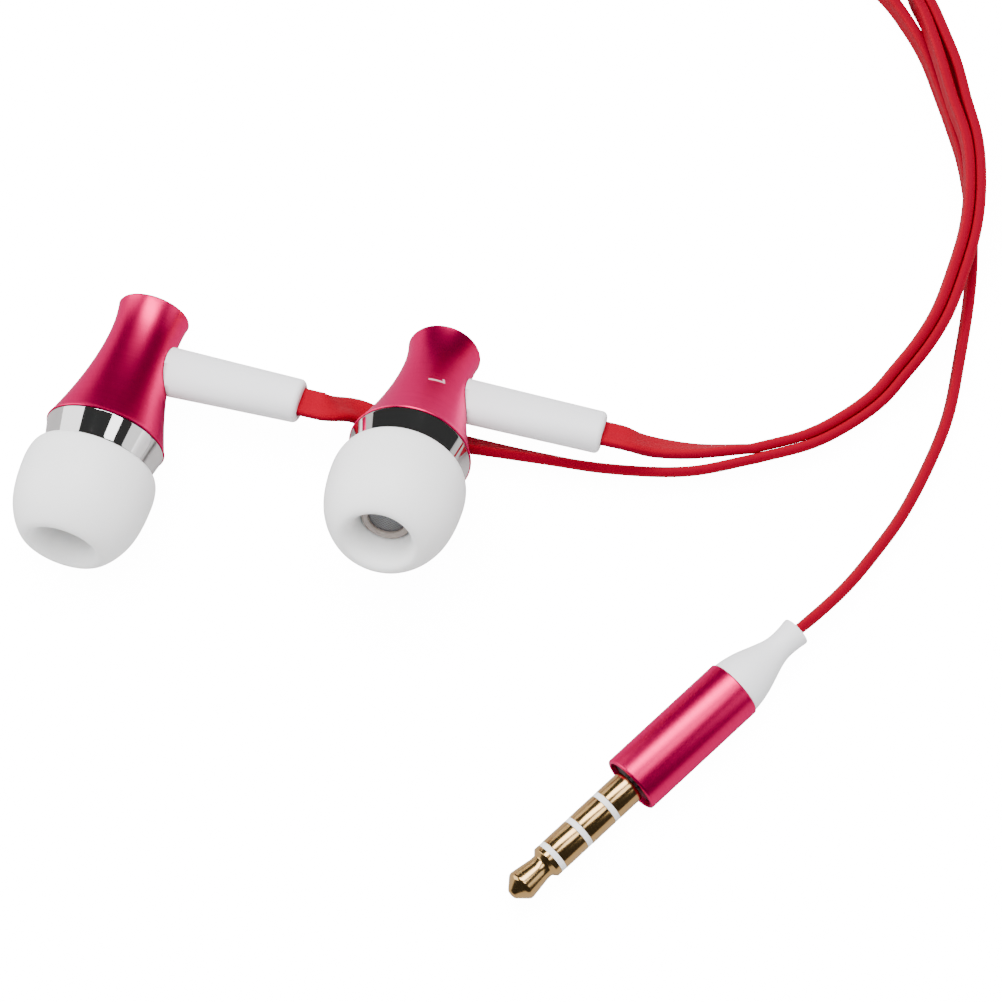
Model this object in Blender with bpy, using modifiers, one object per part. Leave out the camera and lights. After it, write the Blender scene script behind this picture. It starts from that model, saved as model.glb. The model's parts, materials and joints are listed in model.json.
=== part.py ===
"""Wired in-ear earphones lying on a table: two buds, flat leads, in-line remote and a 3.5 mm plug."""

import math

import bmesh
import bpy
from mathutils import Euler, Matrix, Vector

MM = 0.001

# Frame: +X along the row of buds, +Y away from the ear tips, +Z up, table at z = 0.
# The table's own zero is moved so that the buds' bounding box stands on the origin.
BUDS_CENTRE = (-18.87968, 4.31766)

# Round pieces: sides of the turned solids.
OUTER_SIDES = 28
INNER_SIDES = 20
AXIS_MERGE = 1e-6
SLIP = 0.05

# Bud: profiles are (radius, height) along the bud's axis, from its back rim to the ear tip.
BARREL_LENGTH = 15.2
RIM_RADIUS = 3.8
WAIST_RADIUS = 3.5
FLARE_RADIUS = 6.25
FLARE_START = 3.0
FLARE_POWER = 1.7
BACK_WALL = 1.2
CAVITY_RADIUS = 2.65
DRIVER_SEAT_RADIUS = 4.75
SPIGOT_SEAT_RADIUS = 5.5
SPIGOT_START = 14.25
RING_END = 18.1
RING_BACK_RADIUS = 6.15
RING_FRONT_RADIUS = 5.5
RING_BORE_RADIUS = 5.05
TIP_START = 18.25
TIP_END = 28.0
TIP_RADIUS = 6.78
TIP_WALL = 0.7
TIP_BORE_RADIUS = 2.7
MOUTH_RADIUS = 3.1
NOZZLE_RADIUS = 2.5
NOZZLE_BORE_RADIUS = 1.4
NOZZLE_END = 25.0
FLANGE_RADIUS = 4.95
FLANGE_START = 16.4
MESH_RADIUS = 1.65
MESH_THICKNESS = 0.3
MESH_SEAT = 24.1

# Driver inside the bud.
DRIVER_RADIUS = 4.6
DRIVER_START = 13.0
DRIVER_END = 16.1
YOKE_RADIUS = 3.4
YOKE_START = 11.9
YOKE_END = 14.3
YOKE_WALL = 0.5
MAGNET_RADIUS = 2.2
MAGNET_HEIGHT = 1.15
PLATE_RADIUS = 2.35
PLATE_HEIGHT = 0.6
COIL_INNER_RADIUS = 2.5
COIL_OUTER_RADIUS = 2.75
COIL_START = 13.3
COIL_END = 15.05
DIAPHRAGM_RADIUS = 4.0
DIAPHRAGM_THICKNESS = 0.12
DIAPHRAGM_RISE = 0.45
BOARD_RADIUS = 3.1
BOARD_START = 10.7
BOARD_THICKNESS = 0.6

# Stem: a tapered oval along the bud's local +X that holds the lead.
STEM_HEIGHT = 6.2
STEM_END = 17.85
STEM_ROOT_HALF = (1.65, 2.72)
STEM_END_HALF = (1.95, 2.24)
STEM_CORNER = 0.55
STEM_SIDES = 20
SADDLE_GAP = 0.3
SPIGOT_RADIUS = 1.45
SPIGOT_ROOT = 1.4
STEM_BORE_RADIUS = 0.8

# How each bud lies: (x, y) of the back rim's centre on the table, turn about Z from -Y,
# rise of the ear tip, roll of the stem above the level, and lift that sets it on the table.
BUDS = {
    "right": {"rim": (-35.15, 18.85), "turn": 17.2, "rise": 8.6, "roll": 7.2, "lift": 0.14},
    "left": {"rim": (-5.68, 14.9), "turn": 14.3, "rise": 26.0, "roll": 0.3, "lift": -0.28},
}

# Flat lead: width across its face and thickness.
CORD_WIDTH = 3.1
CORD_THICKNESS = 1.05
CORD_STEP = 6.0
CORD_GAP = 0.3
EDGE_HEIGHT = 1.6
PAIR_OFFSET = 0.62
LEAN = 19.0
LEAD_SETTLE = {"right": 32.0, "left": 17.0}

# Routes on the table, chosen by hand, as (x, y, z) in millimetres.
LEAD_RIGHT_ROUTE = (
    (-14.3, 8.3, 3.3),
    (-9.1, 6.65, 1.3),
    (-3.1, 5.4, 1.55),
    (3.9, 4.0, 1.65),
    (10.5, 2.9, 1.65),
    (18.8, 2.6, 1.6),
)
LEAD_LEFT_ROUTE = (
    (14.8, 4.4, 4.2),
    (19.5, 4.5, 2.45),
)
PAIR_ROUTE = (
    (25.5, 4.5, 1.6),
    (31.2, 6.1, 1.6),
    (34.8, 8.0, 1.6),
    (38.2, 10.5, 1.8),
    (40.5, 13.0, 2.6),
    (42.7, 15.5, 3.7),
    (44.6, 18.4, 4.7),
    (46.4, 22.9, 5.0),
    (47.9, 27.9, 5.0),
    (48.5, 32.9, 5.0),
    (48.3, 37.4, 5.0),
    (47.0, 42.0, 5.0),
    (45.8, 46.8, 5.1),
    (44.7, 51.5, 3.9),
    (43.6, 55.6, 2.1),
    (43.0, 61.0, 1.7),
    (43.0, 67.0, 2.3),
    (43.9, 72.5, 3.7),
    (44.9, 78.5, 5.2),
)
MAIN_ROUTE = (
    (30.2, -13.9, 2.6),
    (34.3, -9.9, 1.8),
    (37.5, -6.0, 1.6),
    (40.4, -1.9, 1.6),
    (43.6, 4.3, 1.6),
    (45.3, 8.7, 1.6),
    (46.6, 14.6, 1.6),
    (47.8, 21.2, 1.6),
    (48.3, 26.0, 1.6),
    (48.3, 31.0, 1.6),
    (47.7, 36.5, 1.6),
    (46.7, 40.6, 1.6),
    (45.5, 44.6, 1.6),
    (44.2, 48.6, 1.6),
    (42.5, 52.0, 1.6),
    (40.0, 55.7, 1.6),
    (35.5, 59.6, 1.6),
    (29.5, 63.4, 1.8),
    (23.0, 65.2, 2.3),
)

# Coil of the stored length: main cord below, the two leads above it.
COIL_CENTRE = (23.0, 88.0)
COIL_BASE = 0.8
COIL_GAP = 0.2
MAIN_INNER_TURN = 14.4
LEAD_INNER_TURN = 17.3
OUTER_TURN = 21.3
COIL_SIDES = 48
TIE_WALL = 0.45
TIE_WIDTH = 5.0
TIE_ANGLE = -58.0
TIE_INNER = 13.5
TIE_OUTER = 22.0

# Remote at the split, in the coil's open middle.
REMOTE_ANGLE = 40.0
REMOTE_RADIUS = 7.6
REMOTE_LENGTH = 13.0
REMOTE_WIDTH = 5.2
REMOTE_BASE = 0.1
REMOTE_JOIN = 2.4
REMOTE_TOP = 4.5
REMOTE_WALL = 0.7
BUTTON_SIZE = (4.6, 2.4)
BUTTON_FLANGE = (5.4, 3.2)
BUTTON_LOW = 3.3
BUTTON_FLANGE_TOP = 3.7
BUTTON_TOP = 5.0
MICROPHONE_PLACE = 4.0

# The leads' way from the coil down to the remote, and the main cord's way out to the coil,
# as (degrees from the remote, distance from the coil's centre, height).
LEAD_TAIL = (
    (-260.0, 15.3, 5.65),
    (-215.0, 14.2, 5.65),
    (-170.0, 12.9, 5.6),
    (-140.0, 12.2, 4.6),
    (-110.0, 11.7, 2.9),
    (-85.0, 11.6, 1.8),
    (-64.5, 11.6, 1.6),
    (-51.1, 11.2, 1.6),
)
MAIN_HEAD = (
    (51.1, 11.4, 1.6),
    (64.5, 12.2, 1.7),
    (85.0, 12.9, 2.2),
    (110.0, 13.1, 2.35),
)

# Plug, along its own +Z from the shoulder towards the contact tip.
PLUG_FRONT = (12.66, -30.55)
PLUG_TURN = 223.5
SHELL_RADIUS = 3.15
SHELL_BORE_RADIUS = 2.7
SHELL_LIP_RADIUS = 2.2
SHELL_LIP = 0.6
SHELL_LENGTH = 14.3
JACK_SIDES = 24
JACK_RADIUS = 1.75
JACK_BORE_RADIUS = 0.62
CORE_RADIUS = 0.55
JACK_STACK = (
    ("jack_sleeve_contact", 0.0, 3.0),
    ("jack_insulator_3", 3.0, 3.6),
    ("jack_ring_2", 3.6, 6.7),
    ("jack_insulator_2", 6.7, 7.3),
    ("jack_ring_1", 7.3, 10.25),
    ("jack_insulator_1", 10.25, 10.85),
)
JACK_TIP_START = 10.85
JACK_TIP_END = 16.1
JACK_TAIL = -3.0
BODY_RADIUS = 2.6
BODY_END = -10.6
RELIEF_END = -23.0

MAGENTA = ((0.58, 0.002, 0.085, 1.0), 0.3, 1.0)
CHROME = ((0.75, 0.76, 0.77, 1.0), 0.06, 1.0)
WHITE_RUBBER = ((0.76, 0.76, 0.76, 1.0), 0.55, 0.0)
WHITE_PLASTIC = ((0.74, 0.74, 0.74, 1.0), 0.4, 0.0)
RED_CORD = ((0.72, 0.006, 0.03, 1.0), 0.45, 0.0)
GOLD = ((0.86, 0.62, 0.33, 1.0), 0.18, 1.0)
STEEL = ((0.5, 0.5, 0.5, 1.0), 0.35, 1.0)
MAGNET_GREY = ((0.2, 0.2, 0.21, 1.0), 0.4, 1.0)
COPPER = ((0.72, 0.32, 0.14, 1.0), 0.35, 1.0)
FILM = ((0.62, 0.6, 0.55, 1.0), 0.3, 0.0)
BOARD_GREEN = ((0.02, 0.16, 0.06, 1.0), 0.4, 0.0)
MESH_GREY = ((0.11, 0.11, 0.11, 1.0), 0.5, 0.6)
BLACK_PLASTIC = ((0.03, 0.03, 0.03, 1.0), 0.5, 0.0)


def clear_scene():
    for obj in list(bpy.data.objects):
        bpy.data.objects.remove(obj, do_unlink=True)


def collection(name):
    made = bpy.data.collections.new(name)
    bpy.context.scene.collection.children.link(made)
    return made


def material(name, look):
    colour, roughness, metallic = look
    made = bpy.data.materials.new(name)
    made.use_nodes = True
    shader = made.node_tree.nodes["Principled BSDF"]
    shader.inputs["Base Color"].default_value = colour
    shader.inputs["Roughness"].default_value = roughness
    shader.inputs["Metallic"].default_value = metallic
    return made


class Bench:
    """Where new objects go: their collection and their parent empty."""

    def __init__(self, parts, cutters, parent):
        self.parts = parts
        self.cutters = cutters
        self.parent = parent

    def under(self, parent):
        return Bench(self.parts, self.cutters, parent)

    def place(self, obj, look):
        if look is None:
            self.cutters.objects.link(obj)
            obj.hide_render = True
            obj.display_type = "WIRE"
        else:
            self.parts.objects.link(obj)
            obj.data.materials.append(material(obj.name, look))
        obj.parent = self.parent
        return obj


def empty(name, bench, location, rotation=None):
    made = bpy.data.objects.new(name, None)
    made.empty_display_size = 2 * MM
    bench.parts.objects.link(made)
    made.parent = bench.parent
    made.location = location
    if rotation:
        made.rotation_euler = rotation
    return made


def turned(name, profile, bench, look, sides=OUTER_SIDES, ring=False):
    """Turns (radius, height) points, outer side downwards, about the local Z axis."""
    mesh = bpy.data.meshes.new(name)
    points = [(radius * MM, 0.0, height * MM) for radius, height in profile]
    edges = [(i, i + 1) for i in range(len(points) - 1)]
    if ring:
        edges.append((len(points) - 1, 0))
    mesh.from_pydata(points, edges, [])
    obj = bench.place(bpy.data.objects.new(name, mesh), look)
    screw = obj.modifiers.new("Turn", "SCREW")
    screw.axis = "Z"
    screw.steps = sides
    screw.render_steps = sides
    screw.use_merge_vertices = True
    screw.merge_threshold = AXIS_MERGE
    screw.use_smooth_shade = True
    return obj


def disc(name, radius, low, high, bench, look, sides=INNER_SIDES):
    profile = ((0, high), (radius, high), (radius, low), (0, low))
    return turned(name, profile, bench, look, sides)


def tube(name, outer, inner, low, high, bench, look, sides=INNER_SIDES):
    profile = ((inner, high), (outer, high), (outer, low), (inner, low))
    return turned(name, profile, bench, look, sides, ring=True)


def boolean(obj, other, operation):
    cut = obj.modifiers.new(operation.title(), "BOOLEAN")
    cut.operation = operation
    cut.solver = "EXACT"
    cut.object = other


def box(name, size, centre, bench, look, bevel=0.0):
    mesh = bpy.data.meshes.new(name)
    cage = bmesh.new()
    bmesh.ops.create_cube(cage, size=1.0)
    bmesh.ops.scale(cage, verts=cage.verts, vec=[side * MM for side in size])
    bmesh.ops.translate(cage, verts=cage.verts, vec=[value * MM for value in centre])
    cage.to_mesh(mesh)
    cage.free()
    obj = bench.place(bpy.data.objects.new(name, mesh), look)
    if bevel:
        edge = obj.modifiers.new("Edges", "BEVEL")
        edge.width = bevel * MM
        edge.segments = 2
        edge.limit_method = "ANGLE"
    return obj


def smooth_curve(points, step):
    """Points about one step apart on a centripetal spline through the given points."""
    points = [Vector(point) for point in points]
    ends = [2 * points[0] - points[1]] + points + [2 * points[-1] - points[-2]]
    found = [points[0]]
    for i in range(1, len(ends) - 2):
        before, start, end, after = ends[i - 1 : i + 3]
        knots = [0.0]
        for a, b in ((before, start), (start, end), (end, after)):
            knots.append(knots[-1] + math.sqrt((b - a).length))
        count = max(1, round((end - start).length / step))
        for k in range(1, count + 1):
            t = knots[1] + (knots[2] - knots[1]) * k / count
            a1 = before.lerp(start, t / knots[1])
            a2 = start.lerp(end, (t - knots[1]) / (knots[2] - knots[1]))
            a3 = end.lerp(after, (t - knots[2]) / (knots[3] - knots[2]))
            b1 = a1.lerp(a2, t / knots[2])
            b2 = a2.lerp(a3, (t - knots[1]) / (knots[3] - knots[1]))
            found.append(b1.lerp(b2, (t - knots[1]) / (knots[2] - knots[1])))
    return found


def offset_sideways(points, distance):
    """The same run moved to its left by a distance, level with the table."""
    moved = []
    for i, point in enumerate(points):
        ahead = points[min(i + 1, len(points) - 1)] - points[max(i - 1, 0)]
        left = Vector((-ahead.y, ahead.x, 0.0)).normalized()
        moved.append(point + distance * left)
    return moved


def table_lean(points, index):
    """How far a cord on its edge leans over, from the direction it runs in."""
    last = len(points) - 1
    ahead = points[min(index + 1, last)] - points[max(index - 1, 0)]
    heading = ahead.x / max(math.hypot(ahead.x, ahead.y), 1e-9)
    return math.atan(math.tan(math.radians(LEAN)) * heading)


def flat_cord(name, points, tilts, bench, look):
    """A flat cord along the points, on its edge where the tilt is zero."""
    curve = bpy.data.curves.new(name, "CURVE")
    curve.dimensions = "3D"
    curve.twist_mode = "Z_UP"
    curve.bevel_depth = CORD_THICKNESS / 2 * MM
    curve.extrude = (CORD_WIDTH - CORD_THICKNESS) / 2 * MM
    curve.bevel_resolution = 2
    curve.use_fill_caps = True
    spline = curve.splines.new("POLY")
    spline.points.add(len(points) - 1)
    for slot, point, tilt in zip(spline.points, points, tilts):
        slot.co = (*(point * MM), 1.0)
        slot.tilt = tilt
    return bench.place(bpy.data.objects.new(name, curve), look)


def barrel_radius(height):
    """Outer radius of the barrel: a shallow rim, a waist, then the flare."""
    if height < FLARE_START:
        rim = 1 - height / FLARE_START
        return WAIST_RADIUS + (RIM_RADIUS - WAIST_RADIUS) * rim**2
    reach = (height - FLARE_START) / (BARREL_LENGTH - FLARE_START)
    return WAIST_RADIUS + (FLARE_RADIUS - WAIST_RADIUS) * reach**FLARE_POWER


def barrel_outline(grow, heights):
    return [(barrel_radius(height) + grow, height) for height in heights]


def make_barrel(side, bench):
    heights = (15.2, 14.2, 12.8, 11.2, 9.6, 7.8, 5.8, 3.8, 2.0, 0.6)
    outer = barrel_outline(0.0, heights)
    back = [(RIM_RADIUS - 0.35, 0.0), (0.0, 0.0)]
    hollow = [
        (0.0, BACK_WALL),
        (CAVITY_RADIUS, BACK_WALL),
        (CAVITY_RADIUS, 7.8),
        (3.5, 10.4),
        (4.2, 11.6),
        (DRIVER_SEAT_RADIUS, 12.6),
        (DRIVER_SEAT_RADIUS, SPIGOT_START - SLIP),
        (SPIGOT_SEAT_RADIUS, SPIGOT_START - SLIP),
        (SPIGOT_SEAT_RADIUS, BARREL_LENGTH),
    ]
    barrel = turned(f"barrel_{side}", outer + back + hollow, bench, MAGENTA, ring=True)
    bore = disc(f"stem_bore_{side}", SPIGOT_RADIUS + SLIP, 0.0, 6.0, bench, None)
    bore.location = (0, 0, STEM_HEIGHT * MM)
    bore.rotation_euler = Euler((0, math.pi / 2, 0))
    boolean(barrel, bore, "DIFFERENCE")


def make_ring(side, bench):
    profile = (
        (RING_BORE_RADIUS, RING_END),
        (RING_FRONT_RADIUS - 0.15, RING_END),
        (RING_FRONT_RADIUS, RING_END - 0.2),
        (RING_BACK_RADIUS, BARREL_LENGTH + SLIP),
        (SPIGOT_SEAT_RADIUS - SLIP, BARREL_LENGTH + SLIP),
        (SPIGOT_SEAT_RADIUS - SLIP, SPIGOT_START),
        (DRIVER_RADIUS + 0.2, SPIGOT_START),
        (DRIVER_RADIUS + 0.2, FLANGE_START - 0.2),
        (RING_BORE_RADIUS, FLANGE_START - 0.2),
    )
    turned(f"trim_ring_{side}", profile, bench, CHROME, ring=True)


def make_tip(side, bench):
    shoulder = 19.6
    outer = [
        (TIP_BORE_RADIUS + 0.05, TIP_END - 0.35),
        (MOUTH_RADIUS, TIP_END),
        (4.0, TIP_END - 0.12),
        (5.0, TIP_END - 0.85),
        (5.9, TIP_END - 2.2),
        (6.55, TIP_END - 4.0),
        (TIP_RADIUS, TIP_END - 6.6),
        (6.85, shoulder),
        (6.3, TIP_START),
        (6.3 - TIP_WALL, TIP_START),
    ]
    skirt = [
        (6.1, shoulder),
        (6.2, TIP_END - 6.8),
        (5.7, TIP_END - 4.6),
        (4.6, TIP_END - 2.4),
        (TIP_BORE_RADIUS + TIP_WALL, TIP_END - 3.2),
        (TIP_BORE_RADIUS + TIP_WALL, 19.4),
        (TIP_BORE_RADIUS, 19.4),
        (TIP_BORE_RADIUS, NOZZLE_END + 0.2),
    ]
    tip = turned(f"ear_tip_{side}", outer + skirt, bench, WHITE_RUBBER, ring=True)
    return tip


def make_nozzle(side, bench):
    profile = (
        (MESH_RADIUS + 0.1, NOZZLE_END),
        (NOZZLE_RADIUS - 0.15, NOZZLE_END),
        (NOZZLE_RADIUS, NOZZLE_END - 0.3),
        (NOZZLE_RADIUS, 18.6),
        (3.4, 17.6),
        (FLANGE_RADIUS, 17.4),
        (FLANGE_RADIUS, FLANGE_START),
        (3.8, FLANGE_START),
        (NOZZLE_BORE_RADIUS, 18.4),
        (NOZZLE_BORE_RADIUS, MESH_SEAT),
        (MESH_RADIUS + 0.1, MESH_SEAT),
    )
    turned(f"nozzle_{side}", profile, bench, WHITE_PLASTIC, INNER_SIDES, ring=True)
    low = MESH_SEAT + SLIP
    disc(f"nozzle_mesh_{side}", MESH_RADIUS, low, low + MESH_THICKNESS, bench, MESH_GREY)


def make_driver(side, bench):
    frame = (
        (4.15, DRIVER_END),
        (DRIVER_RADIUS, DRIVER_END),
        (DRIVER_RADIUS, DRIVER_START),
        (YOKE_RADIUS + 0.1, DRIVER_START),
        (YOKE_RADIUS + 0.1, YOKE_END),
        (4.15, YOKE_END + 0.4),
    )
    turned(f"driver_frame_{side}", frame, bench, BLACK_PLASTIC, INNER_SIDES, ring=True)
    floor = YOKE_START + YOKE_WALL
    yoke = (
        (YOKE_RADIUS - YOKE_WALL, YOKE_END),
        (YOKE_RADIUS, YOKE_END),
        (YOKE_RADIUS, YOKE_START),
        (0.0, YOKE_START),
        (0.0, floor),
        (YOKE_RADIUS - YOKE_WALL, floor),
    )
    turned(f"driver_yoke_{side}", yoke, bench, STEEL, INNER_SIDES, ring=True)
    low = floor + SLIP
    disc(f"driver_magnet_{side}", MAGNET_RADIUS, low, low + MAGNET_HEIGHT, bench, MAGNET_GREY)
    low += MAGNET_HEIGHT + SLIP
    disc(f"driver_plate_{side}", PLATE_RADIUS, low, low + PLATE_HEIGHT, bench, STEEL)
    low = BOARD_START
    board = (
        (1.0, low + BOARD_THICKNESS),
        (BOARD_RADIUS, low + BOARD_THICKNESS),
        (BOARD_RADIUS, low),
        (1.0, low),
    )
    turned(f"driver_board_{side}", board, bench, BOARD_GREEN, INNER_SIDES, ring=True)


def make_diaphragm(side, bench):
    tube(
        f"voice_coil_{side}",
        COIL_OUTER_RADIUS,
        COIL_INNER_RADIUS,
        COIL_START,
        COIL_END,
        bench,
        COPPER,
    )
    base = COIL_END + SLIP
    upper = [
        (0.0, base + DIAPHRAGM_THICKNESS + DIAPHRAGM_RISE),
        (1.3, base + DIAPHRAGM_THICKNESS + 0.8 * DIAPHRAGM_RISE),
        (COIL_INNER_RADIUS, base + DIAPHRAGM_THICKNESS),
        (3.3, base + DIAPHRAGM_THICKNESS + 0.5 * DIAPHRAGM_RISE),
        (DIAPHRAGM_RADIUS, base + DIAPHRAGM_THICKNESS),
    ]
    lower = [(radius, height - DIAPHRAGM_THICKNESS) for radius, height in reversed(upper)]
    turned(f"diaphragm_{side}", upper + lower, bench, FILM, INNER_SIDES)


def oval_ring(cage, x, half_y, half_z):
    ring = []
    for i in range(STEM_SIDES):
        angle = math.tau * i / STEM_SIDES
        y = half_y * math.cos(angle)
        z = STEM_HEIGHT + half_z * math.sin(angle)
        ring.append(cage.verts.new((x * MM, y * MM, z * MM)))
    return ring


def make_stem(side, bench):
    """Lofts the oval taper, saddles its root to the barrel and adds the hollow spigot."""
    start = 2.2
    stations = [(start, 0.0), (6.5, 0.0), (11.5, 0.0), (STEM_END - STEM_CORNER, 0.0)]
    stations += [(STEM_END - 0.3 * STEM_CORNER, 0.3 * STEM_CORNER), (STEM_END, STEM_CORNER)]
    cage = bmesh.new()
    rings = []
    for x, inset in stations:
        reach = (x - start) / (STEM_END - start)
        half_y = STEM_ROOT_HALF[0] + (STEM_END_HALF[0] - STEM_ROOT_HALF[0]) * reach
        half_z = STEM_ROOT_HALF[1] + (STEM_END_HALF[1] - STEM_ROOT_HALF[1]) * reach
        rings.append(oval_ring(cage, x, half_y - inset, half_z - inset))
    for first, second in zip(rings, rings[1:]):
        for i in range(STEM_SIDES):
            j = (i + 1) % STEM_SIDES
            cage.faces.new((first[i], first[j], second[j], second[i]))
    cage.faces.new(reversed(rings[0]))
    cage.faces.new(rings[-1])
    mesh = bpy.data.meshes.new(f"cable_stem_{side}")
    cage.to_mesh(mesh)
    cage.free()
    mesh.shade_smooth()
    stem = bench.place(bpy.data.objects.new(f"cable_stem_{side}", mesh), WHITE_RUBBER)
    heights = (12.0, 10.0, 8.0, 6.0, 4.0, 2.0, 0.6)
    saddle = [(0.0, 12.0)] + barrel_outline(SADDLE_GAP, heights) + [(0.0, 0.6)]
    boolean(stem, turned(f"saddle_{side}", saddle, bench, None), "DIFFERENCE")
    length = 6.0 - SPIGOT_ROOT
    spigot = disc(f"spigot_{side}", SPIGOT_RADIUS, 0.0, length, bench, None)
    bore = disc(f"lead_bore_{side}", STEM_BORE_RADIUS, -1.0, STEM_END + 1.0, bench, None, 12)
    for helper, x in ((spigot, SPIGOT_ROOT), (bore, 0.0)):
        helper.location = (x * MM, 0, STEM_HEIGHT * MM)
        helper.rotation_euler = Euler((0, math.pi / 2, 0))
    boolean(stem, spigot, "UNION")
    boolean(stem, bore, "DIFFERENCE")


def bud_matrix(bud):
    """Turns the bud's +Z to the ear tip's direction and its +X to the stem's."""
    turn = math.radians(bud["turn"])
    rise = math.radians(bud["rise"])
    roll = math.radians(bud["roll"])
    flat = Vector((-math.sin(turn), -math.cos(turn), 0.0))
    axis = math.cos(rise) * flat + Vector((0, 0, math.sin(rise)))
    level = Vector((math.cos(turn), -math.sin(turn), 0.0))
    above = axis.cross(level)
    if above.z < 0:
        above.negate()
    stem = math.cos(roll) * level + math.sin(roll) * above
    side = axis.cross(stem)
    turned_frame = Matrix((stem, side, axis)).transposed()
    height = RIM_RADIUS * math.cos(rise) + bud["lift"]
    place = Matrix.Translation(Vector((*bud["rim"], height)) * MM)
    return place @ turned_frame.to_4x4()


def make_bud(side, bench):
    seat = empty(f"bud_{side}", bench, (0, 0, 0))
    seat.matrix_local = bud_matrix(BUDS[side])
    inner = bench.under(seat)
    make_barrel(side, inner)
    make_ring(side, inner)
    make_nozzle(side, inner)
    make_driver(side, inner)
    make_stem(side, inner)
    make_diaphragm(side, inner.under(empty(f"diaphragm_axis_{side}", inner, (0, 0, 0))))
    make_tip(side, inner.under(empty(f"ear_tip_axis_{side}", inner, (0, 0, 0))))


def stem_exit(side):
    """Where the lead leaves the stem, its direction, and the lead's tilt there."""
    frame = bud_matrix(BUDS[side])
    start = frame @ (Vector((STEM_END + CORD_GAP, 0, STEM_HEIGHT)) * MM)
    ahead = frame.to_3x3() @ Vector((1, 0, 0))
    across = frame.to_3x3() @ Vector((0, 0, 1))
    upright = (Vector((0, 0, 1)) - ahead * ahead.z).normalized()
    sideways = upright.cross(ahead)
    tilt = -math.atan2(across.dot(sideways), across.dot(upright))
    return start / MM, ahead, tilt


def settle(points, run):
    """Shares that ease from 1 to 0 over a distance along the points."""
    shares = []
    travelled = 0.0
    for i, point in enumerate(points):
        travelled += (point - points[max(i - 1, 0)]).length
        part = min(1.0, travelled / run)
        shares.append(1.0 - part * part * (3 - 2 * part))
    return shares


def lead_points(side, pair):
    start, ahead, tilt = stem_exit(side)
    own = LEAD_RIGHT_ROUTE if side == "right" else LEAD_LEFT_ROUTE
    offset = -PAIR_OFFSET if side == "right" else PAIR_OFFSET
    beside = offset_sideways(pair, offset)
    first = [start, start + 2.0 * ahead] + [Vector(point) for point in own]
    points = smooth_curve(first + beside[:1], CORD_STEP) + beside[1:]
    tilts = []
    for i, share in enumerate(settle(points, LEAD_SETTLE[side])):
        tilts.append(share * tilt + (1 - share) * table_lean(points, i))
    return points, tilts


def remote_matrix():
    """The remote's frame: +X towards the plug's side, +Z up."""
    angle = math.radians(REMOTE_ANGLE)
    out = Vector((math.cos(angle), math.sin(angle), 0)) * REMOTE_RADIUS
    place = Matrix.Translation((Vector((*COIL_CENTRE, 0)) + out) * MM)
    return place @ Matrix.Rotation(angle + math.pi / 2, 4, "Z")


def round_coil(route):
    """Turns (degrees from the remote, distance, height) into places on the table."""
    points = []
    for degrees, distance, height in route:
        angle = math.radians(REMOTE_ANGLE + degrees)
        out = Vector((math.cos(angle), math.sin(angle), 0)) * distance
        points.append(Vector((*COIL_CENTRE, height)) + out)
    return points


def make_cords(bench):
    pair = smooth_curve(PAIR_ROUTE, CORD_STEP)
    for side in BUDS:
        points, tilts = lead_points(side, pair)
        flat_cord(f"lead_{side}", points, tilts, bench, RED_CORD)
    main = smooth_curve(MAIN_ROUTE, CORD_STEP)
    tilts = [table_lean(main, i) for i in range(len(main))]
    flat_cord("main_cord", main, tilts, bench, RED_CORD)
    frame = remote_matrix()
    reach = REMOTE_LENGTH / 2 + CORD_GAP
    entry = frame @ (Vector((-reach, 0, EDGE_HEIGHT)) * MM) / MM
    leave = frame @ (Vector((reach, 0, EDGE_HEIGHT)) * MM) / MM
    tail = smooth_curve(round_coil(LEAD_TAIL) + [entry], CORD_STEP / 2)
    for side, offset in (("right", -PAIR_OFFSET), ("left", PAIR_OFFSET)):
        points = offset_sideways(tail, offset)
        flat_cord(f"lead_tail_{side}", points, [0.0] * len(points), bench, RED_CORD)
    head = smooth_curve([leave] + round_coil(MAIN_HEAD), CORD_STEP / 2)
    flat_cord("main_cord_head", head, [0.0] * len(head), bench, RED_CORD)


def make_coils(bench):
    inner = bench.under(empty("coil", bench, Vector((*COIL_CENTRE, 0)) * MM))
    half = CORD_THICKNESS / 2
    low = COIL_BASE
    for name, inside in (("main_cord_coil", MAIN_INNER_TURN), ("leads_coil", LEAD_INNER_TURN)):
        high = low + CORD_WIDTH
        tube(name, OUTER_TURN + half, inside - half, low, high, inner, RED_CORD, COIL_SIDES)
        low = high + COIL_GAP
    seat = empty("tie", inner, (0, 0, 0), Euler((0, 0, math.radians(TIE_ANGLE))))
    around = inner.under(seat)
    middle = (TIE_INNER + TIE_OUTER) / 2
    base = COIL_BASE - 0.1
    top = low + 0.1
    size = (TIE_OUTER - TIE_INNER + 2 * TIE_WALL, TIE_WIDTH, top - base + 2 * TIE_WALL)
    tie = box("coil_tie", size, (middle, 0, (top + base) / 2), around, BLACK_PLASTIC, 0.2)
    hole = (TIE_OUTER - TIE_INNER, 2 * TIE_WIDTH, top - base)
    boolean(tie, box("tie_hole", hole, (middle, 0, (top + base) / 2), around, None), "DIFFERENCE")


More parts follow.
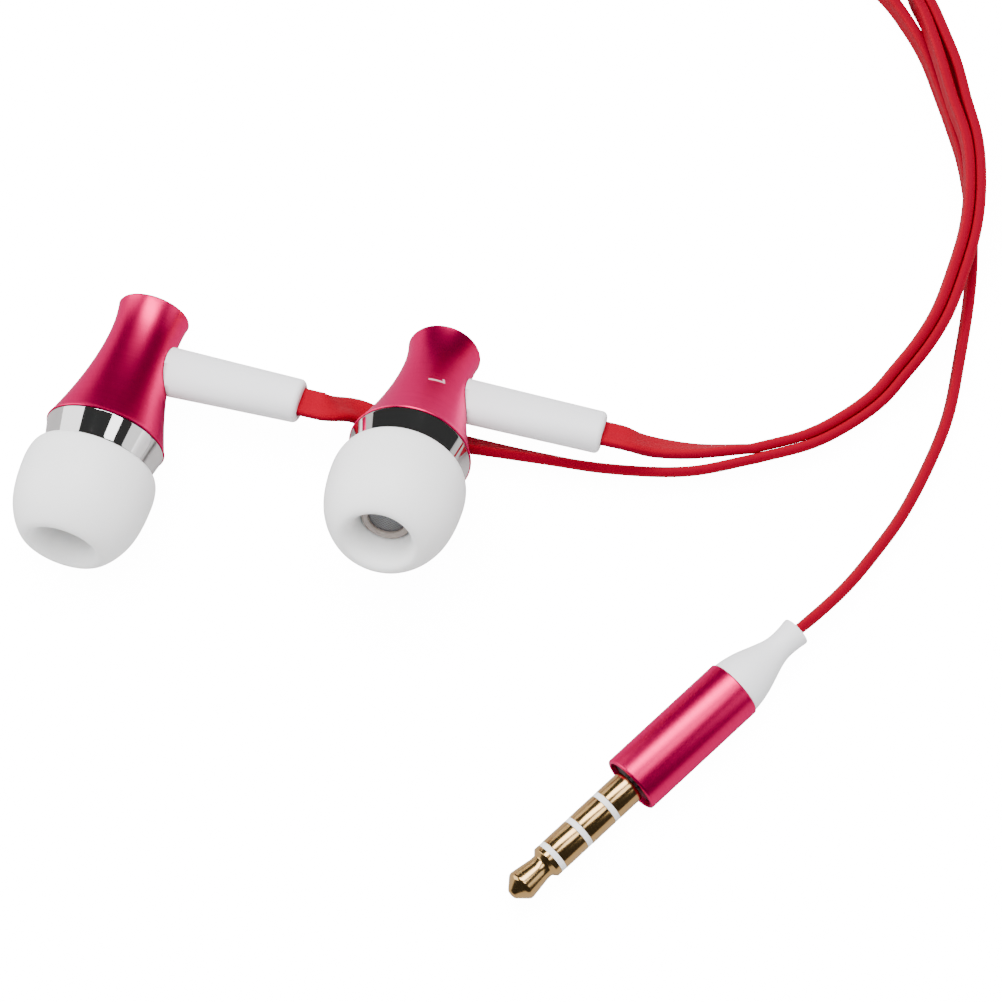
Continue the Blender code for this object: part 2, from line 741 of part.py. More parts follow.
def make_remote(bench):
    seat = empty("remote", bench, (0, 0, 0))
    seat.matrix_local = remote_matrix()
    inner = bench.under(seat)
    length, width, wall = REMOTE_LENGTH, REMOTE_WIDTH, REMOTE_WALL
    room = box(
        "remote_room",
        (length - 2 * wall, width - 2 * wall, REMOTE_TOP - REMOTE_BASE - 2 * wall),
        (0, 0, (REMOTE_TOP + REMOTE_BASE) / 2),
        inner,
        None,
    )
    entry = box("entry_slot", (4, 2.5, 3.4), (-length / 2, 0, EDGE_HEIGHT), inner, None)
    leave = box("exit_slot", (4, 1.3, 3.4), (length / 2, 0, EDGE_HEIGHT), inner, None)
    gate = box(
        "button_hole",
        (BUTTON_SIZE[0] + 0.3, BUTTON_SIZE[1] + 0.3, 4),
        (0, 0, REMOTE_TOP + 1),
        inner,
        None,
    )
    ear = disc("microphone_hole", 0.4, 3.0, 6.0, inner, None, 12)
    ear.location = (MICROPHONE_PLACE * MM, 0, 0)
    for name, low, high in (
        ("remote_back_cover", REMOTE_BASE, REMOTE_JOIN),
        ("remote_front_cover", REMOTE_JOIN + SLIP, REMOTE_TOP),
    ):
        size = (length, width, high - low)
        cover = box(name, size, (0, 0, (low + high) / 2), inner, WHITE_PLASTIC)
        for cutter in (room, entry, leave):
            boolean(cover, cutter, "DIFFERENCE")
        if high == REMOTE_TOP:
            boolean(cover, gate, "DIFFERENCE")
            boolean(cover, ear, "DIFFERENCE")
    box("remote_board", (10.0, 3.4, 0.5), (0, 0, 1.75), inner, BOARD_GREEN)
    disc("remote_switch", 1.2, 2.1, 2.9, inner, STEEL, 16)
    capsule = disc("remote_microphone", 1.2, 2.1, 3.3, inner, STEEL, 16)
    capsule.location = (MICROPHONE_PLACE * MM, 0, 0)
    make_button(inner.under(empty("remote_button_axis", inner, (0, 0, BUTTON_LOW * MM))))


def make_button(bench):
    flange = BUTTON_FLANGE_TOP - BUTTON_LOW
    cap = BUTTON_TOP - BUTTON_LOW
    button = box("remote_button", (*BUTTON_SIZE, cap), (0, 0, cap / 2), bench, MAGENTA)
    foot = box("button_foot", (*BUTTON_FLANGE, flange), (0, 0, flange / 2), bench, None)
    boolean(button, foot, "UNION")


def jack_tip_profile():
    return [
        (0.0, JACK_TIP_END),
        (0.55, JACK_TIP_END - 0.12),
        (1.1, JACK_TIP_END - 0.5),
        (1.66, JACK_TIP_END - 1.3),
        (1.3, JACK_TIP_END - 3.9),
        (1.3, JACK_TIP_END - 4.3),
        (JACK_RADIUS, JACK_TIP_START + 0.55),
        (JACK_RADIUS, JACK_TIP_START + SLIP),
        (JACK_BORE_RADIUS, JACK_TIP_START + SLIP),
        (JACK_BORE_RADIUS, JACK_TIP_END - 2.4),
        (0.0, JACK_TIP_END - 2.4),
    ]


def make_jack(bench):
    for name, low, high in JACK_STACK:
        look = WHITE_PLASTIC if "insulator" in name else GOLD
        tube(name, JACK_RADIUS, JACK_BORE_RADIUS, low + SLIP, high, bench, look, JACK_SIDES)
    turned("jack_tip", jack_tip_profile(), bench, GOLD, JACK_SIDES, ring=True)
    disc("jack_core", CORE_RADIUS, JACK_TAIL, JACK_TIP_END - 2.5, bench, STEEL, 12)


def make_handle(bench):
    shell = (
        (SHELL_LIP_RADIUS, 0.0),
        (SHELL_RADIUS, 0.0),
        (SHELL_RADIUS, -SHELL_LENGTH),
        (SHELL_BORE_RADIUS, -SHELL_LENGTH),
        (SHELL_BORE_RADIUS, -SHELL_LIP),
        (SHELL_LIP_RADIUS, -SHELL_LIP),
    )
    turned("plug_shell", shell, bench, MAGENTA, ring=True)
    body = (
        (CORE_RADIUS + SLIP, -0.4),
        (SHELL_LIP_RADIUS - 0.1, -0.4),
        (SHELL_LIP_RADIUS - 0.1, -SHELL_LIP - SLIP),
        (BODY_RADIUS, -SHELL_LIP - SLIP),
        (BODY_RADIUS, BODY_END),
        (CORE_RADIUS + SLIP, BODY_END),
    )
    turned("plug_body", body, bench, BLACK_PLASTIC, INNER_SIDES, ring=True)
    start = -SHELL_LENGTH - SLIP
    relief = (
        (0.8, BODY_END - 0.2),
        (BODY_RADIUS, BODY_END - 0.2),
        (BODY_RADIUS, start),
        (2.98, start),
        (2.9, start - 0.8),
        (2.5, start - 2.6),
        (1.75, start - 4.7),
        (1.38, start - 6.1),
        (1.4, start - 7.2),
        (1.52, start - 8.2),
        (1.42, RELIEF_END),
        (0.8, RELIEF_END),
    )
    turned("plug_strain_relief", relief, bench, WHITE_RUBBER, ring=True)


def make_plug(bench):
    seat = empty("plug", bench, (0, 0, 0))
    turn = math.radians(PLUG_TURN)
    forward = Vector((math.cos(turn), math.sin(turn), 0))
    up = Vector((0, 0, 1))
    frame = Matrix((up.cross(forward), up, forward)).transposed().to_4x4()
    place = Vector((*PLUG_FRONT, SHELL_RADIUS)) * MM
    seat.matrix_local = Matrix.Translation(place) @ frame
    inner = bench.under(seat)
    make_jack(inner)
    make_handle(inner)


clear_scene()
parts = collection("wired_earphones")
cutters = collection("cutters")
root = bpy.data.objects.new("wired_earphones", None)
parts.objects.link(root)
root.location = (-BUDS_CENTRE[0] * MM, -BUDS_CENTRE[1] * MM, 0)
bench = Bench(parts, cutters, root)
for side in BUDS:
    make_bud(side, bench)
make_cords(bench)
make_coils(bench)
make_remote(bench)
make_plug(bench)
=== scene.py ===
import json
import math

import bmesh
import bpy
from mathutils import Matrix, Vector


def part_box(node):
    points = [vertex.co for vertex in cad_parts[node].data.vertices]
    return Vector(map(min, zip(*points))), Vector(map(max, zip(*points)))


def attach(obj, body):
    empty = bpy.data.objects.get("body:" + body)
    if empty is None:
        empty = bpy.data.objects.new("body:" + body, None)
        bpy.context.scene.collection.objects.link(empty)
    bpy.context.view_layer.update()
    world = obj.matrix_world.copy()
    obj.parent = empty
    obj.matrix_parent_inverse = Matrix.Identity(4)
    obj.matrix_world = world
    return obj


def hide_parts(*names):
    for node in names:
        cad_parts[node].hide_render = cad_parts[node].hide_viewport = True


mm = 0.001
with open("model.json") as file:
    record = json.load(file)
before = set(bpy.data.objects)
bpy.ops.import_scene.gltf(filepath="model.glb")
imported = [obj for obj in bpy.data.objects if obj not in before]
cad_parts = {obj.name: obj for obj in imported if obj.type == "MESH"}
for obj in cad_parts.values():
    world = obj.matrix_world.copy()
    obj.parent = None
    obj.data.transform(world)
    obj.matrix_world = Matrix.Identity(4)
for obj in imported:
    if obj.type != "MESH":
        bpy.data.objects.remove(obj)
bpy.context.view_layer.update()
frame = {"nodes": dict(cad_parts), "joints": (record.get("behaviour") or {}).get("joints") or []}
mainBody = "earphones"
up = Vector((0, 0, 1))


# Meshes and places

def middleOf(node):
    low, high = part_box(node)
    return (low + high) / 2


def jointAxis(name):
    joint = next(joint for joint in frame["joints"] if joint["name"] == name)
    return Vector(joint["axis"]).normalized()


def frameFrom(origin, xAxis, zAxis):
    yAxis = zAxis.cross(xAxis)
    turned = Matrix((xAxis, yAxis, zAxis)).transposed()
    return Matrix.Translation(origin) @ turned.to_4x4()


def fillet(points, steps=5):
    # each point is (radius, height) or (radius, height, rounding)
    found = []
    count = len(points)
    for i, point in enumerate(points):
        here = Vector(point[:2])
        rounding = point[2] if len(point) > 2 else 0.0
        if not rounding:
            found.append(here)
            continue
        before = Vector(points[i - 1][:2]) - here
        after = Vector(points[(i + 1) % count][:2]) - here
        start = here + before.normalized() * min(rounding, before.length * 0.49)
        end = here + after.normalized() * min(rounding, after.length * 0.49)
        for k in range(steps + 1):
            t = k / steps
            found.append((1 - t) ** 2 * start + 2 * t * (1 - t) * here + t * t * end)
    return found


def finishMesh(cage, name, place, sharpness=35.0):
    bmesh.ops.remove_doubles(cage, verts=cage.verts, dist=1e-7)
    bmesh.ops.recalc_face_normals(cage, faces=cage.faces)
    for face in cage.faces:
        face.smooth = True
    for edge in cage.edges:
        edge.smooth = edge.calc_face_angle(0.0) < math.radians(sharpness)
    mesh = bpy.data.meshes.new(name)
    cage.to_mesh(mesh)
    cage.free()
    obj = bpy.data.objects.new(name, mesh)
    bpy.context.scene.collection.objects.link(obj)
    obj.matrix_world = place
    return obj


def lathe(name, points, place, sides=128, steps=5):
    profile = fillet(points, steps)
    cage = bmesh.new()
    rings = []
    for radius, height in profile:
        if radius < 1e-6:
            rings.append([cage.verts.new((0, 0, height * mm))])
            continue
        ring = []
        for i in range(sides):
            angle = math.tau * i / sides
            x = radius * mm * math.cos(angle)
            y = radius * mm * math.sin(angle)
            ring.append(cage.verts.new((x, y, height * mm)))
        rings.append(ring)
    for first, second in zip(rings, rings[1:] + rings[:1]):
        if len(first) == 1 and len(second) == 1:
            continue
        for i in range(sides):
            j = (i + 1) % sides
            if len(first) == 1:
                cage.faces.new((first[0], second[j], second[i]))
            elif len(second) == 1:
                cage.faces.new((first[i], first[j], second[0]))
            else:
                cage.faces.new((first[i], first[j], second[j], second[i]))
    return finishMesh(cage, name, place)


def roundedBox(name, size, centre, place, bevel, segments=5):
    cage = bmesh.new()
    bmesh.ops.create_cube(cage, size=1.0)
    bmesh.ops.scale(cage, verts=cage.verts, vec=[side * mm for side in size])
    if bevel:
        bmesh.ops.bevel(
            cage,
            geom=list(cage.edges),
            offset=bevel * mm,
            segments=segments,
            profile=0.5,
            affect="EDGES",
        )
    bmesh.ops.translate(cage, verts=cage.verts, vec=[value * mm for value in centre])
    return finishMesh(cage, name, place)


def carve(obj, cutter, operation="DIFFERENCE"):
    change = obj.modifiers.new("change", "BOOLEAN")
    change.operation = operation
    change.solver = "EXACT"
    change.object = cutter
    bpy.context.view_layer.update()
    graph = bpy.context.evaluated_depsgraph_get()
    made = bpy.data.meshes.new_from_object(obj.evaluated_get(graph))
    obj.modifiers.clear()
    obj.data = made
    bpy.data.objects.remove(cutter, do_unlink=True)
    return obj


def fit(obj, body, material, slot, *nodes):
    obj.data.materials.clear()
    obj.data.materials.append(material)
    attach(obj, body)
    if nodes:
        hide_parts(*nodes)
    return obj


# Shared shader effects

def addNode(tree, kind, **values):
    node = tree.nodes.new(kind)
    for name, value in values.items():
        setattr(node, name, value)
    return node


def addSocket(group, name, way, kind, value=None):
    socket = group.interface.new_socket(name, in_out=way, socket_type=kind)
    if value is not None:
        socket.default_value = value


def makeGrainGroup():
    group = bpy.data.node_groups.new("surfaceGrain", "ShaderNodeTree")
    addSocket(group, "Vector", "INPUT", "NodeSocketVector")
    addSocket(group, "Scale", "INPUT", "NodeSocketFloat", 1000.0)
    addSocket(group, "Light", "INPUT", "NodeSocketColor", (0.8, 0.8, 0.8, 1))
    addSocket(group, "Dark", "INPUT", "NodeSocketColor", (0.7, 0.7, 0.7, 1))
    addSocket(group, "Smooth", "INPUT", "NodeSocketFloat", 0.4)
    addSocket(group, "Rough", "INPUT", "NodeSocketFloat", 0.5)
    addSocket(group, "Color", "OUTPUT", "NodeSocketColor")
    addSocket(group, "Roughness", "OUTPUT", "NodeSocketFloat")
    addSocket(group, "Height", "OUTPUT", "NodeSocketFloat")
    start = addNode(group, "NodeGroupInput")
    end = addNode(group, "NodeGroupOutput")
    noise = addNode(group, "ShaderNodeTexNoise")
    noise.inputs["Detail"].default_value = 4.0
    patch = addNode(group, "ShaderNodeTexNoise")
    patch.inputs["Scale"].default_value = 120.0
    blend = addNode(group, "ShaderNodeMix", data_type="RGBA")
    spread = addNode(group, "ShaderNodeMapRange")
    link = group.links.new
    link(start.outputs["Vector"], noise.inputs["Vector"])
    link(start.outputs["Scale"], noise.inputs["Scale"])
    link(start.outputs["Vector"], patch.inputs["Vector"])
    link(patch.outputs["Fac"], blend.inputs["Factor"])
    link(start.outputs["Light"], blend.inputs["A"])
    link(start.outputs["Dark"], blend.inputs["B"])
    link(noise.outputs["Fac"], spread.inputs["Value"])
    link(start.outputs["Smooth"], spread.inputs["To Min"])
    link(start.outputs["Rough"], spread.inputs["To Max"])
    link(blend.outputs["Result"], end.inputs["Color"])
    link(spread.outputs["Result"], end.inputs["Roughness"])
    link(noise.outputs["Fac"], end.inputs["Height"])
    return group


grainGroup = makeGrainGroup()


def makeMaterial(name, look):
    made = bpy.data.materials.new(name)
    made.use_nodes = True
    tree = made.node_tree
    shader = tree.nodes["Principled BSDF"]
    for socket, value in look.get("sockets", {}).items():
        shader.inputs[socket].default_value = value
    place = addNode(tree, "ShaderNodeTexCoord")
    stretch = addNode(tree, "ShaderNodeMapping")
    stretch.inputs["Scale"].default_value = look.get("stretch", (1, 1, 1))
    grain = addNode(tree, "ShaderNodeGroup", node_tree=grainGroup)
    grain.inputs["Scale"].default_value = look["scale"]
    grain.inputs["Light"].default_value = (*look["light"], 1)
    grain.inputs["Dark"].default_value = (*look["dark"], 1)
    grain.inputs["Smooth"].default_value = look["roughness"][0]
    grain.inputs["Rough"].default_value = look["roughness"][1]
    bump = addNode(tree, "ShaderNodeBump")
    bump.inputs["Strength"].default_value = look["bump"]
    bump.inputs["Distance"].default_value = look.get("depth", 0.02) * mm
    link = tree.links.new
    link(place.outputs["Object"], stretch.inputs["Vector"])
    link(stretch.outputs["Vector"], grain.inputs["Vector"])
    link(grain.outputs["Color"], shader.inputs["Base Color"])
    link(grain.outputs["Roughness"], shader.inputs["Roughness"])
    link(grain.outputs["Height"], bump.inputs["Height"])
    link(bump.outputs["Normal"], shader.inputs["Normal"])
    return made


# Camera

cameraView = {
    "target": (18.87968, -4.31766, 0.0),
    "elevation": 71.0,
    "distance": 450.0,
    "lens": 160.06,
}


def makeCamera():
    data = bpy.data.cameras.new("camera")
    data.lens = cameraView["lens"]
    data.sensor_width = 36.0
    data.clip_start = 0.01
    obj = bpy.data.objects.new("camera", data)
    bpy.context.scene.collection.objects.link(obj)
    tilt = math.radians(cameraView["elevation"])
    back = Vector((0, -math.cos(tilt), math.sin(tilt))) * cameraView["distance"]
    obj.location = (Vector(cameraView["target"]) + back) * mm
    obj.rotation_euler = (math.pi / 2 - tilt, 0, 0)
    bpy.context.scene.camera = obj


makeCamera()
print("camera done")


# Frames of the buds, plug, remote and coil, read from the fixed solids

budValues = {
    "meshHeight": 24.3,
    "roll": {"right": 7.2, "left": 0.3},
}


def budFrame(side):
    axis = jointAxis(f"ear_tip_{side}_pull")
    level = Vector((-axis.y, axis.x, 0)).normalized()
    above = axis.cross(level)
    if above.z < 0:
        above.negate()
    roll = math.radians(budValues["roll"][side])
    stem = math.cos(roll) * level + math.sin(roll) * above
    origin = middleOf(f"nozzle_mesh_{side}") - axis * budValues["meshHeight"] * mm
    return frameFrom(origin, stem, axis)


def plugFrame():
    middle = middleOf("plug_shell")
    forward = (middleOf("jack_sleeve_contact") - middle).normalized()
    return frameFrom(middle + forward * plugValues["shellLength"] / 2 * mm, up.cross(forward), forward)


def remoteFrame():
    board = middleOf("remote_board")
    ahead = middleOf("remote_microphone") - board
    ahead = Vector((ahead.x, ahead.y, 0)).normalized()
    return frameFrom(Vector((board.x, board.y, 0)), ahead, up)


budFrames = {side: budFrame(side) for side in ("right", "left")}


# Cords

cordValues = {
    "width": 3.1,
    "thickness": 1.05,
    "step": 0.8,
    "sides": 28,
    "pairOffset": 0.56,
    "lean": 19.0,
    "farLean": -1.25,
    "farStart": 27.0,
    "farReach": 10.0,
    "part": 0.34,
    "partAt": 40.3,
    "partReach": 4.2,
    "grooveDepth": 0.07,
    "settle": {"right": 32.0, "left": 17.0},
    "inside": 1.0,
}
# the table's zero, from which the routes are measured, in the row frame
tableShift = Vector((0.01887968, -0.00431766, 0.0))
leadOwnRoute = {
    "right": [
        (-0.0143, 0.0083, 0.0033),
        (-0.0091, 0.00665, 0.0013),
        (-0.0031, 0.0054, 0.00155),
        (0.0039, 0.004, 0.00165),
        (0.0105, 0.0029, 0.00165),
        (0.0188, 0.0026, 0.0016),
    ],
    "left": [
        (0.0148, 0.0044, 0.0042),
        (0.0195, 0.0045, 0.00245),
    ],
}
pairRoute = [
    (0.0255, 0.0045, 0.0016),
    (0.0312, 0.0061, 0.0016),
    (0.0348, 0.008, 0.0016),
    (0.0382, 0.0105, 0.0018),
    (0.0405, 0.013, 0.0026),
    (0.0427, 0.0155, 0.0037),
    (0.0446, 0.0184, 0.0047),
    (0.0464, 0.0229, 0.005),
    (0.0479, 0.0279, 0.005),
    (0.0485, 0.0329, 0.005),
    (0.0483, 0.0374, 0.005),
    (0.047, 0.042, 0.005),
    (0.0458, 0.0468, 0.0051),
    (0.0447, 0.0515, 0.0039),
    (0.0436, 0.0556, 0.0021),
    (0.043, 0.061, 0.0017),
    (0.043, 0.067, 0.0023),
    (0.0439, 0.0725, 0.0037),
    (0.0449, 0.0785, 0.0052),
]
mainRoute = [
    (0.0302, -0.0139, 0.0026),
    (0.0343, -0.0099, 0.0018),
    (0.0375, -0.006, 0.0016),
    (0.0404, -0.0019, 0.0016),
    (0.0436, 0.0043, 0.0016),
    (0.0453, 0.0087, 0.0016),
    (0.0466, 0.0146, 0.0016),
    (0.0478, 0.0212, 0.0016),
    (0.0483, 0.026, 0.0016),
    (0.0483, 0.031, 0.0016),
    (0.0477, 0.0365, 0.0016),
    (0.0467, 0.0406, 0.0016),
    (0.0455, 0.0446, 0.0016),
    (0.0442, 0.0486, 0.0016),
    (0.0425, 0.052, 0.0016),
    (0.04, 0.0557, 0.0016),
    (0.0355, 0.0596, 0.0016),
    (0.0295, 0.0634, 0.0018),
    (0.023, 0.0652, 0.0023),
]
coilValues = {
    "remoteAngle": 40.0,
    "stepDegrees": 20.0,
    "leadStart": -5.0,
    "leadEnd": 120.0 + 360.0,
    "leadRadius": (22.4, 21.3, 15.9),
    "leadHeight": 5.65,
    "mainStart": 170.0,
    "mainEnd": -112.0 + 7 * 360.0,
    "mainRadius": (13.4, 21.3),
    "mainHeight": 2.35,
}
# (degrees from the remote, distance from the coil's middle, height)
leadTail = [
    (-260.0, 15.3, 5.65),
    (-215.0, 14.2, 5.65),
    (-170.0, 12.9, 5.6),
    (-140.0, 12.2, 4.6),
    (-110.0, 11.7, 2.9),
    (-85.0, 11.6, 1.8),
    (-64.5, 11.6, 1.6),
    (-51.1, 11.2, 1.6),
]
mainHead = [
    (51.1, 11.4, 1.6),
    (64.5, 12.2, 1.7),
    (85.0, 12.9, 2.2),
    (110.0, 13.1, 2.35),
]


def smoothCurve(points, step):
    # a centripetal spline through the points, sampled about one step apart
    points = [Vector(point) for point in points]
    ends = [2 * points[0] - points[1]] + points + [2 * points[-1] - points[-2]]
    found = [points[0]]
    for i in range(1, len(ends) - 2):
        before, start, end, after = ends[i - 1 : i + 3]
        knots = [0.0]
        for a, b in ((before, start), (start, end), (end, after)):
            knots.append(knots[-1] + math.sqrt((b - a).length))
        count = max(1, round((end - start).length / step))
        for k in range(1, count + 1):
            t = knots[1] + (knots[2] - knots[1]) * k / count
            a1 = before.lerp(start, t / knots[1])
            a2 = start.lerp(end, (t - knots[1]) / (knots[2] - knots[1]))
            a3 = end.lerp(after, (t - knots[2]) / (knots[3] - knots[2]))
            b1 = a1.lerp(a2, t / knots[2])
            b2 = a2.lerp(a3, (t - knots[1]) / (knots[3] - knots[1]))
            found.append(b1.lerp(b2, (t - knots[1]) / (knots[2] - knots[1])))
    return found


def onTable(route):
    return [Vector(point) + tableShift for point in route]


def headingAt(points, i):
    ahead = points[min(i + 1, len(points) - 1)] - points[max(i - 1, 0)]
    return ahead.normalized()


def farShare(point):
    # past this line the cords stand straighter on the table
    reach = (point.y / mm - cordValues["farStart"]) / cordValues["farReach"]
    reach = min(1.0, max(0.0, reach))
    return reach * reach * (3 - 2 * reach) * leanShare(point)


def offsetSideways(points, distance):
    moved = []
    for i, point in enumerate(points):
        ahead = headingAt(points, i)
        left = Vector((-ahead.y, ahead.x, 0.0)).normalized()
        extra = 0.0
        parting = math.exp(-(((point.y / mm - cordValues["partAt"]) / cordValues["partReach"]) ** 2))
        if distance < 0:
            extra = cordValues["part"] * parting * leanShare(point)
        moved.append(point + (distance + math.copysign(extra * mm, distance)) * left)
    return moved


def aroundCoil(degrees, distance, height):
    angle = math.radians(degrees)
    middle = middleOf("main_cord_coil")
    x = middle.x + distance * mm * math.cos(angle)
    y = middle.y + distance * mm * math.sin(angle)
    return Vector((x, y, height * mm))


def tableLean(points, i, strength):
    ahead = headingAt(points, i)
    heading = ahead.x / max(math.hypot(ahead.x, ahead.y), 1e-9)
    lean = math.atan(math.tan(math.radians(cordValues["lean"])) * heading)
    return strength * lean * (1 + cordValues["farLean"] * farShare(points[i]))


def leanShare(point):
    # the cord leans on the open table and stands straight in the coil
    coil = middleOf("main_cord_coil")
    away = (Vector((point.x, point.y)) - Vector((coil.x, coil.y))).length / mm
    return min(1.0, max(0.0, (away - 24.0) / 12.0))


def leadLine(side):
    place = budFrames[side]
    step = cordValues["step"] * mm
    ahead = place.to_3x3() @ Vector((1, 0, 0))
    across = place.to_3x3() @ Vector((0, 0, 1))
    stemEnd = place @ (Vector((stemValues["end"], 0, stemValues["height"])) * mm)
    start = stemEnd + 0.3 * mm * ahead
    upright = (up - ahead * ahead.z).normalized()
    sideways = upright.cross(ahead)
    tilt = -math.atan2(across.dot(sideways), across.dot(upright))
    offset = cordValues["pairOffset"] * mm * (-1 if side == "right" else 1)
    spiral = coilValues
    turns = [aroundCoil(spiral["leadStart"], spiral["leadRadius"][0], 5.6)]
    first, last = spiral["leadRadius"][1:]
    degrees = 20.0
    while degrees < spiral["leadEnd"] - 10:
        share = (degrees - 20.0) / (spiral["leadEnd"] - 20.0)
        turns.append(aroundCoil(degrees, first + (last - first) * share, spiral["leadHeight"]))
        degrees += spiral["stepDegrees"]
    tail = [aroundCoil(spiral["remoteAngle"] + d, r, z) for d, r, z in leadTail]
    entry = remoteFrame() @ Vector((-6.2 * mm, 0, 1.6 * mm))
    shared = smoothCurve(onTable(pairRoute) + turns + tail + [entry], step)
    beside = offsetSideways(shared, offset)
    own = onTable(leadOwnRoute[side])
    inside = start - (cordValues["inside"] + 0.3) * mm * ahead
    first = [inside, start, start + 2.0 * mm * ahead] + own
    points = smoothCurve(first + beside[:1], step) + beside[1:]
    tilts = []
    travelled = 0.0
    for i, point in enumerate(points):
        travelled += (point - points[max(i - 1, 0)]).length / mm
        part = min(1.0, max(0.0, travelled - 1.3) / cordValues["settle"][side])
        share = 1.0 - part * part * (3 - 2 * part)
        tilts.append(share * tilt + (1 - share) * tableLean(points, i, leanShare(point)))
    return points, tilts, stemEnd


def mainLine():
    spiral = coilValues
    place = remoteFrame()
    start = place @ Vector((6.2 * mm, 0, 1.6 * mm))
    head = [aroundCoil(spiral["remoteAngle"] + d, r, z) for d, r, z in mainHead]
    turns = []
    degrees = spiral["mainStart"]
    first, last = spiral["mainRadius"]
    while degrees < spiral["mainEnd"] + 1:
        share = (degrees - spiral["mainStart"]) / (spiral["mainEnd"] - spiral["mainStart"])
        turns.append(aroundCoil(degrees, first + (last - first) * share, spiral["mainHeight"]))
        degrees += spiral["stepDegrees"]
    plug = plugFrame()
    end = plug @ Vector((0, 0, plugValues["reliefEnd"] * mm))
    inside = plug @ Vector((0, 0, (plugValues["reliefEnd"] + 0.12) * mm))
    controls = [start] + head + turns + list(reversed(onTable(mainRoute))) + [end, inside]
    points = smoothCurve(controls, cordValues["step"] * mm)
    tilts = [tableLean(points, i, leanShare(point)) for i, point in enumerate(points)]
    return points, tilts, start


def cordSection(count):
    # a flat band with round edges and a shallow groove along each face
    half = cordValues["thickness"] / 2
    straight = cordValues["width"] / 2 - half
    corner = count // 4
    section = []
    for k in range(corner + 1):
        angle = math.pi * k / corner
        section.append((half * math.cos(angle), straight + half * math.sin(angle)))
    flat = count // 2 - corner
    for k in range(1, flat):
        share = k / flat
        groove = cordValues["grooveDepth"] * math.sin(math.pi * share) ** 0.5
        ridge = 0.35 * cordValues["grooveDepth"] * math.cos(math.tau * 2 * share)
        section.append((-half + groove + ridge, straight * (1 - 2 * share)))
    return section + [(-x, -y) for x, y in section]


def flatCord(name, points, tilts):
    section = cordSection(cordValues["sides"])
    cage = bmesh.new()
    rings = []
    travelled = 0.0
    along = []
    widest = cordValues["width"] / 2
    for i, point in enumerate(points):
        ahead = headingAt(points, i)
        upright = (up - ahead * ahead.z).normalized()
        sideways = upright.cross(ahead)
        across = math.cos(tilts[i]) * upright - math.sin(tilts[i]) * sideways
        face = across.cross(ahead)
        travelled += (point - points[max(i - 1, 0)]).length
        ring = []
        for x, y in section:
            ring.append(cage.verts.new(point + (face * x + across * y) * mm))
            along.append((travelled, y / widest, x / widest))
        rings.append(ring)
    count = len(section)
    for first, second in zip(rings, rings[1:]):
        for i in range(count):
            j = (i + 1) % count
            cage.faces.new((first[i], first[j], second[j], second[i]))
    cage.faces.new(rings[0])
    cage.faces.new(rings[-1])
    cage.verts.index_update()
    obj = finishMesh(cage, name, Matrix.Identity(4), 50.0)
    band = obj.data.attributes.new("band", "FLOAT_VECTOR", "POINT")
    band.data.foreach_set("vector", [value for item in along for value in item])
    return obj


cordLook = {
    "face": (0.29, 0.0, 0.012),
    "deep": (0.25, 0.0, 0.011),
    # edge: painted shade, a darker colour laid along the cord's rounded edges
    "edge": (0.19, 0.0, 0.011),
    "roughness": 0.5,
}


def makeCordMaterial():
    made = bpy.data.materials.new("cordRubber")
    made.use_nodes = True
    tree = made.node_tree
    shader = tree.nodes["Principled BSDF"]
    shader.inputs["Roughness"].default_value = cordLook["roughness"]
    shader.inputs["Specular IOR Level"].default_value = 0.04
    shader.inputs["Specular Tint"].default_value = (1, 0.25, 0.35, 1)
    band = addNode(tree, "ShaderNodeAttribute", attribute_name="band")
    stretch = addNode(tree, "ShaderNodeMapping")
    stretch.inputs["Scale"].default_value = (120, 7, 7)
    streaks = addNode(tree, "ShaderNodeTexNoise")
    streaks.inputs["Scale"].default_value = 1.0
    streaks.inputs["Detail"].default_value = 3.0
    split = addNode(tree, "ShaderNodeSeparateXYZ")
    away = addNode(tree, "ShaderNodeMath", operation="ABSOLUTE")
    # mask for the painted shade: the outer part of the band's width, at its rounded edges
    edge = addNode(tree, "ShaderNodeMapRange", interpolation_type="SMOOTHSTEP")
    edge.inputs["From Min"].default_value = 0.86
    edge.inputs["From Max"].default_value = 1.0
    tone = addNode(tree, "ShaderNodeMix", data_type="RGBA")
    tone.inputs["A"].default_value = (*cordLook["face"], 1)
    tone.inputs["B"].default_value = (*cordLook["deep"], 1)
    # mixes the painted shade colour in along the rounded edges
    rim = addNode(tree, "ShaderNodeMix", data_type="RGBA")
    rim.inputs["B"].default_value = (*cordLook["edge"], 1)
    bump = addNode(tree, "ShaderNodeBump")
    bump.inputs["Strength"].default_value = 0.1
    bump.inputs["Distance"].default_value = 0.03 * mm
    link = tree.links.new
    link(band.outputs["Vector"], stretch.inputs["Vector"])
    link(stretch.outputs["Vector"], streaks.inputs["Vector"])
    link(band.outputs["Vector"], split.inputs["Vector"])
    link(split.outputs["Y"], away.inputs[0])
    link(away.outputs["Value"], edge.inputs["Value"])
    link(streaks.outputs["Fac"], tone.inputs["Factor"])
    link(edge.outputs["Result"], rim.inputs["Factor"])
    link(tone.outputs["Result"], rim.inputs["A"])
    link(rim.outputs["Result"], shader.inputs["Base Color"])
    link(streaks.outputs["Fac"], bump.inputs["Height"])
    link(bump.outputs["Normal"], shader.inputs["Normal"])
    return made


# Plug values come before the cords, which end in its strain relief

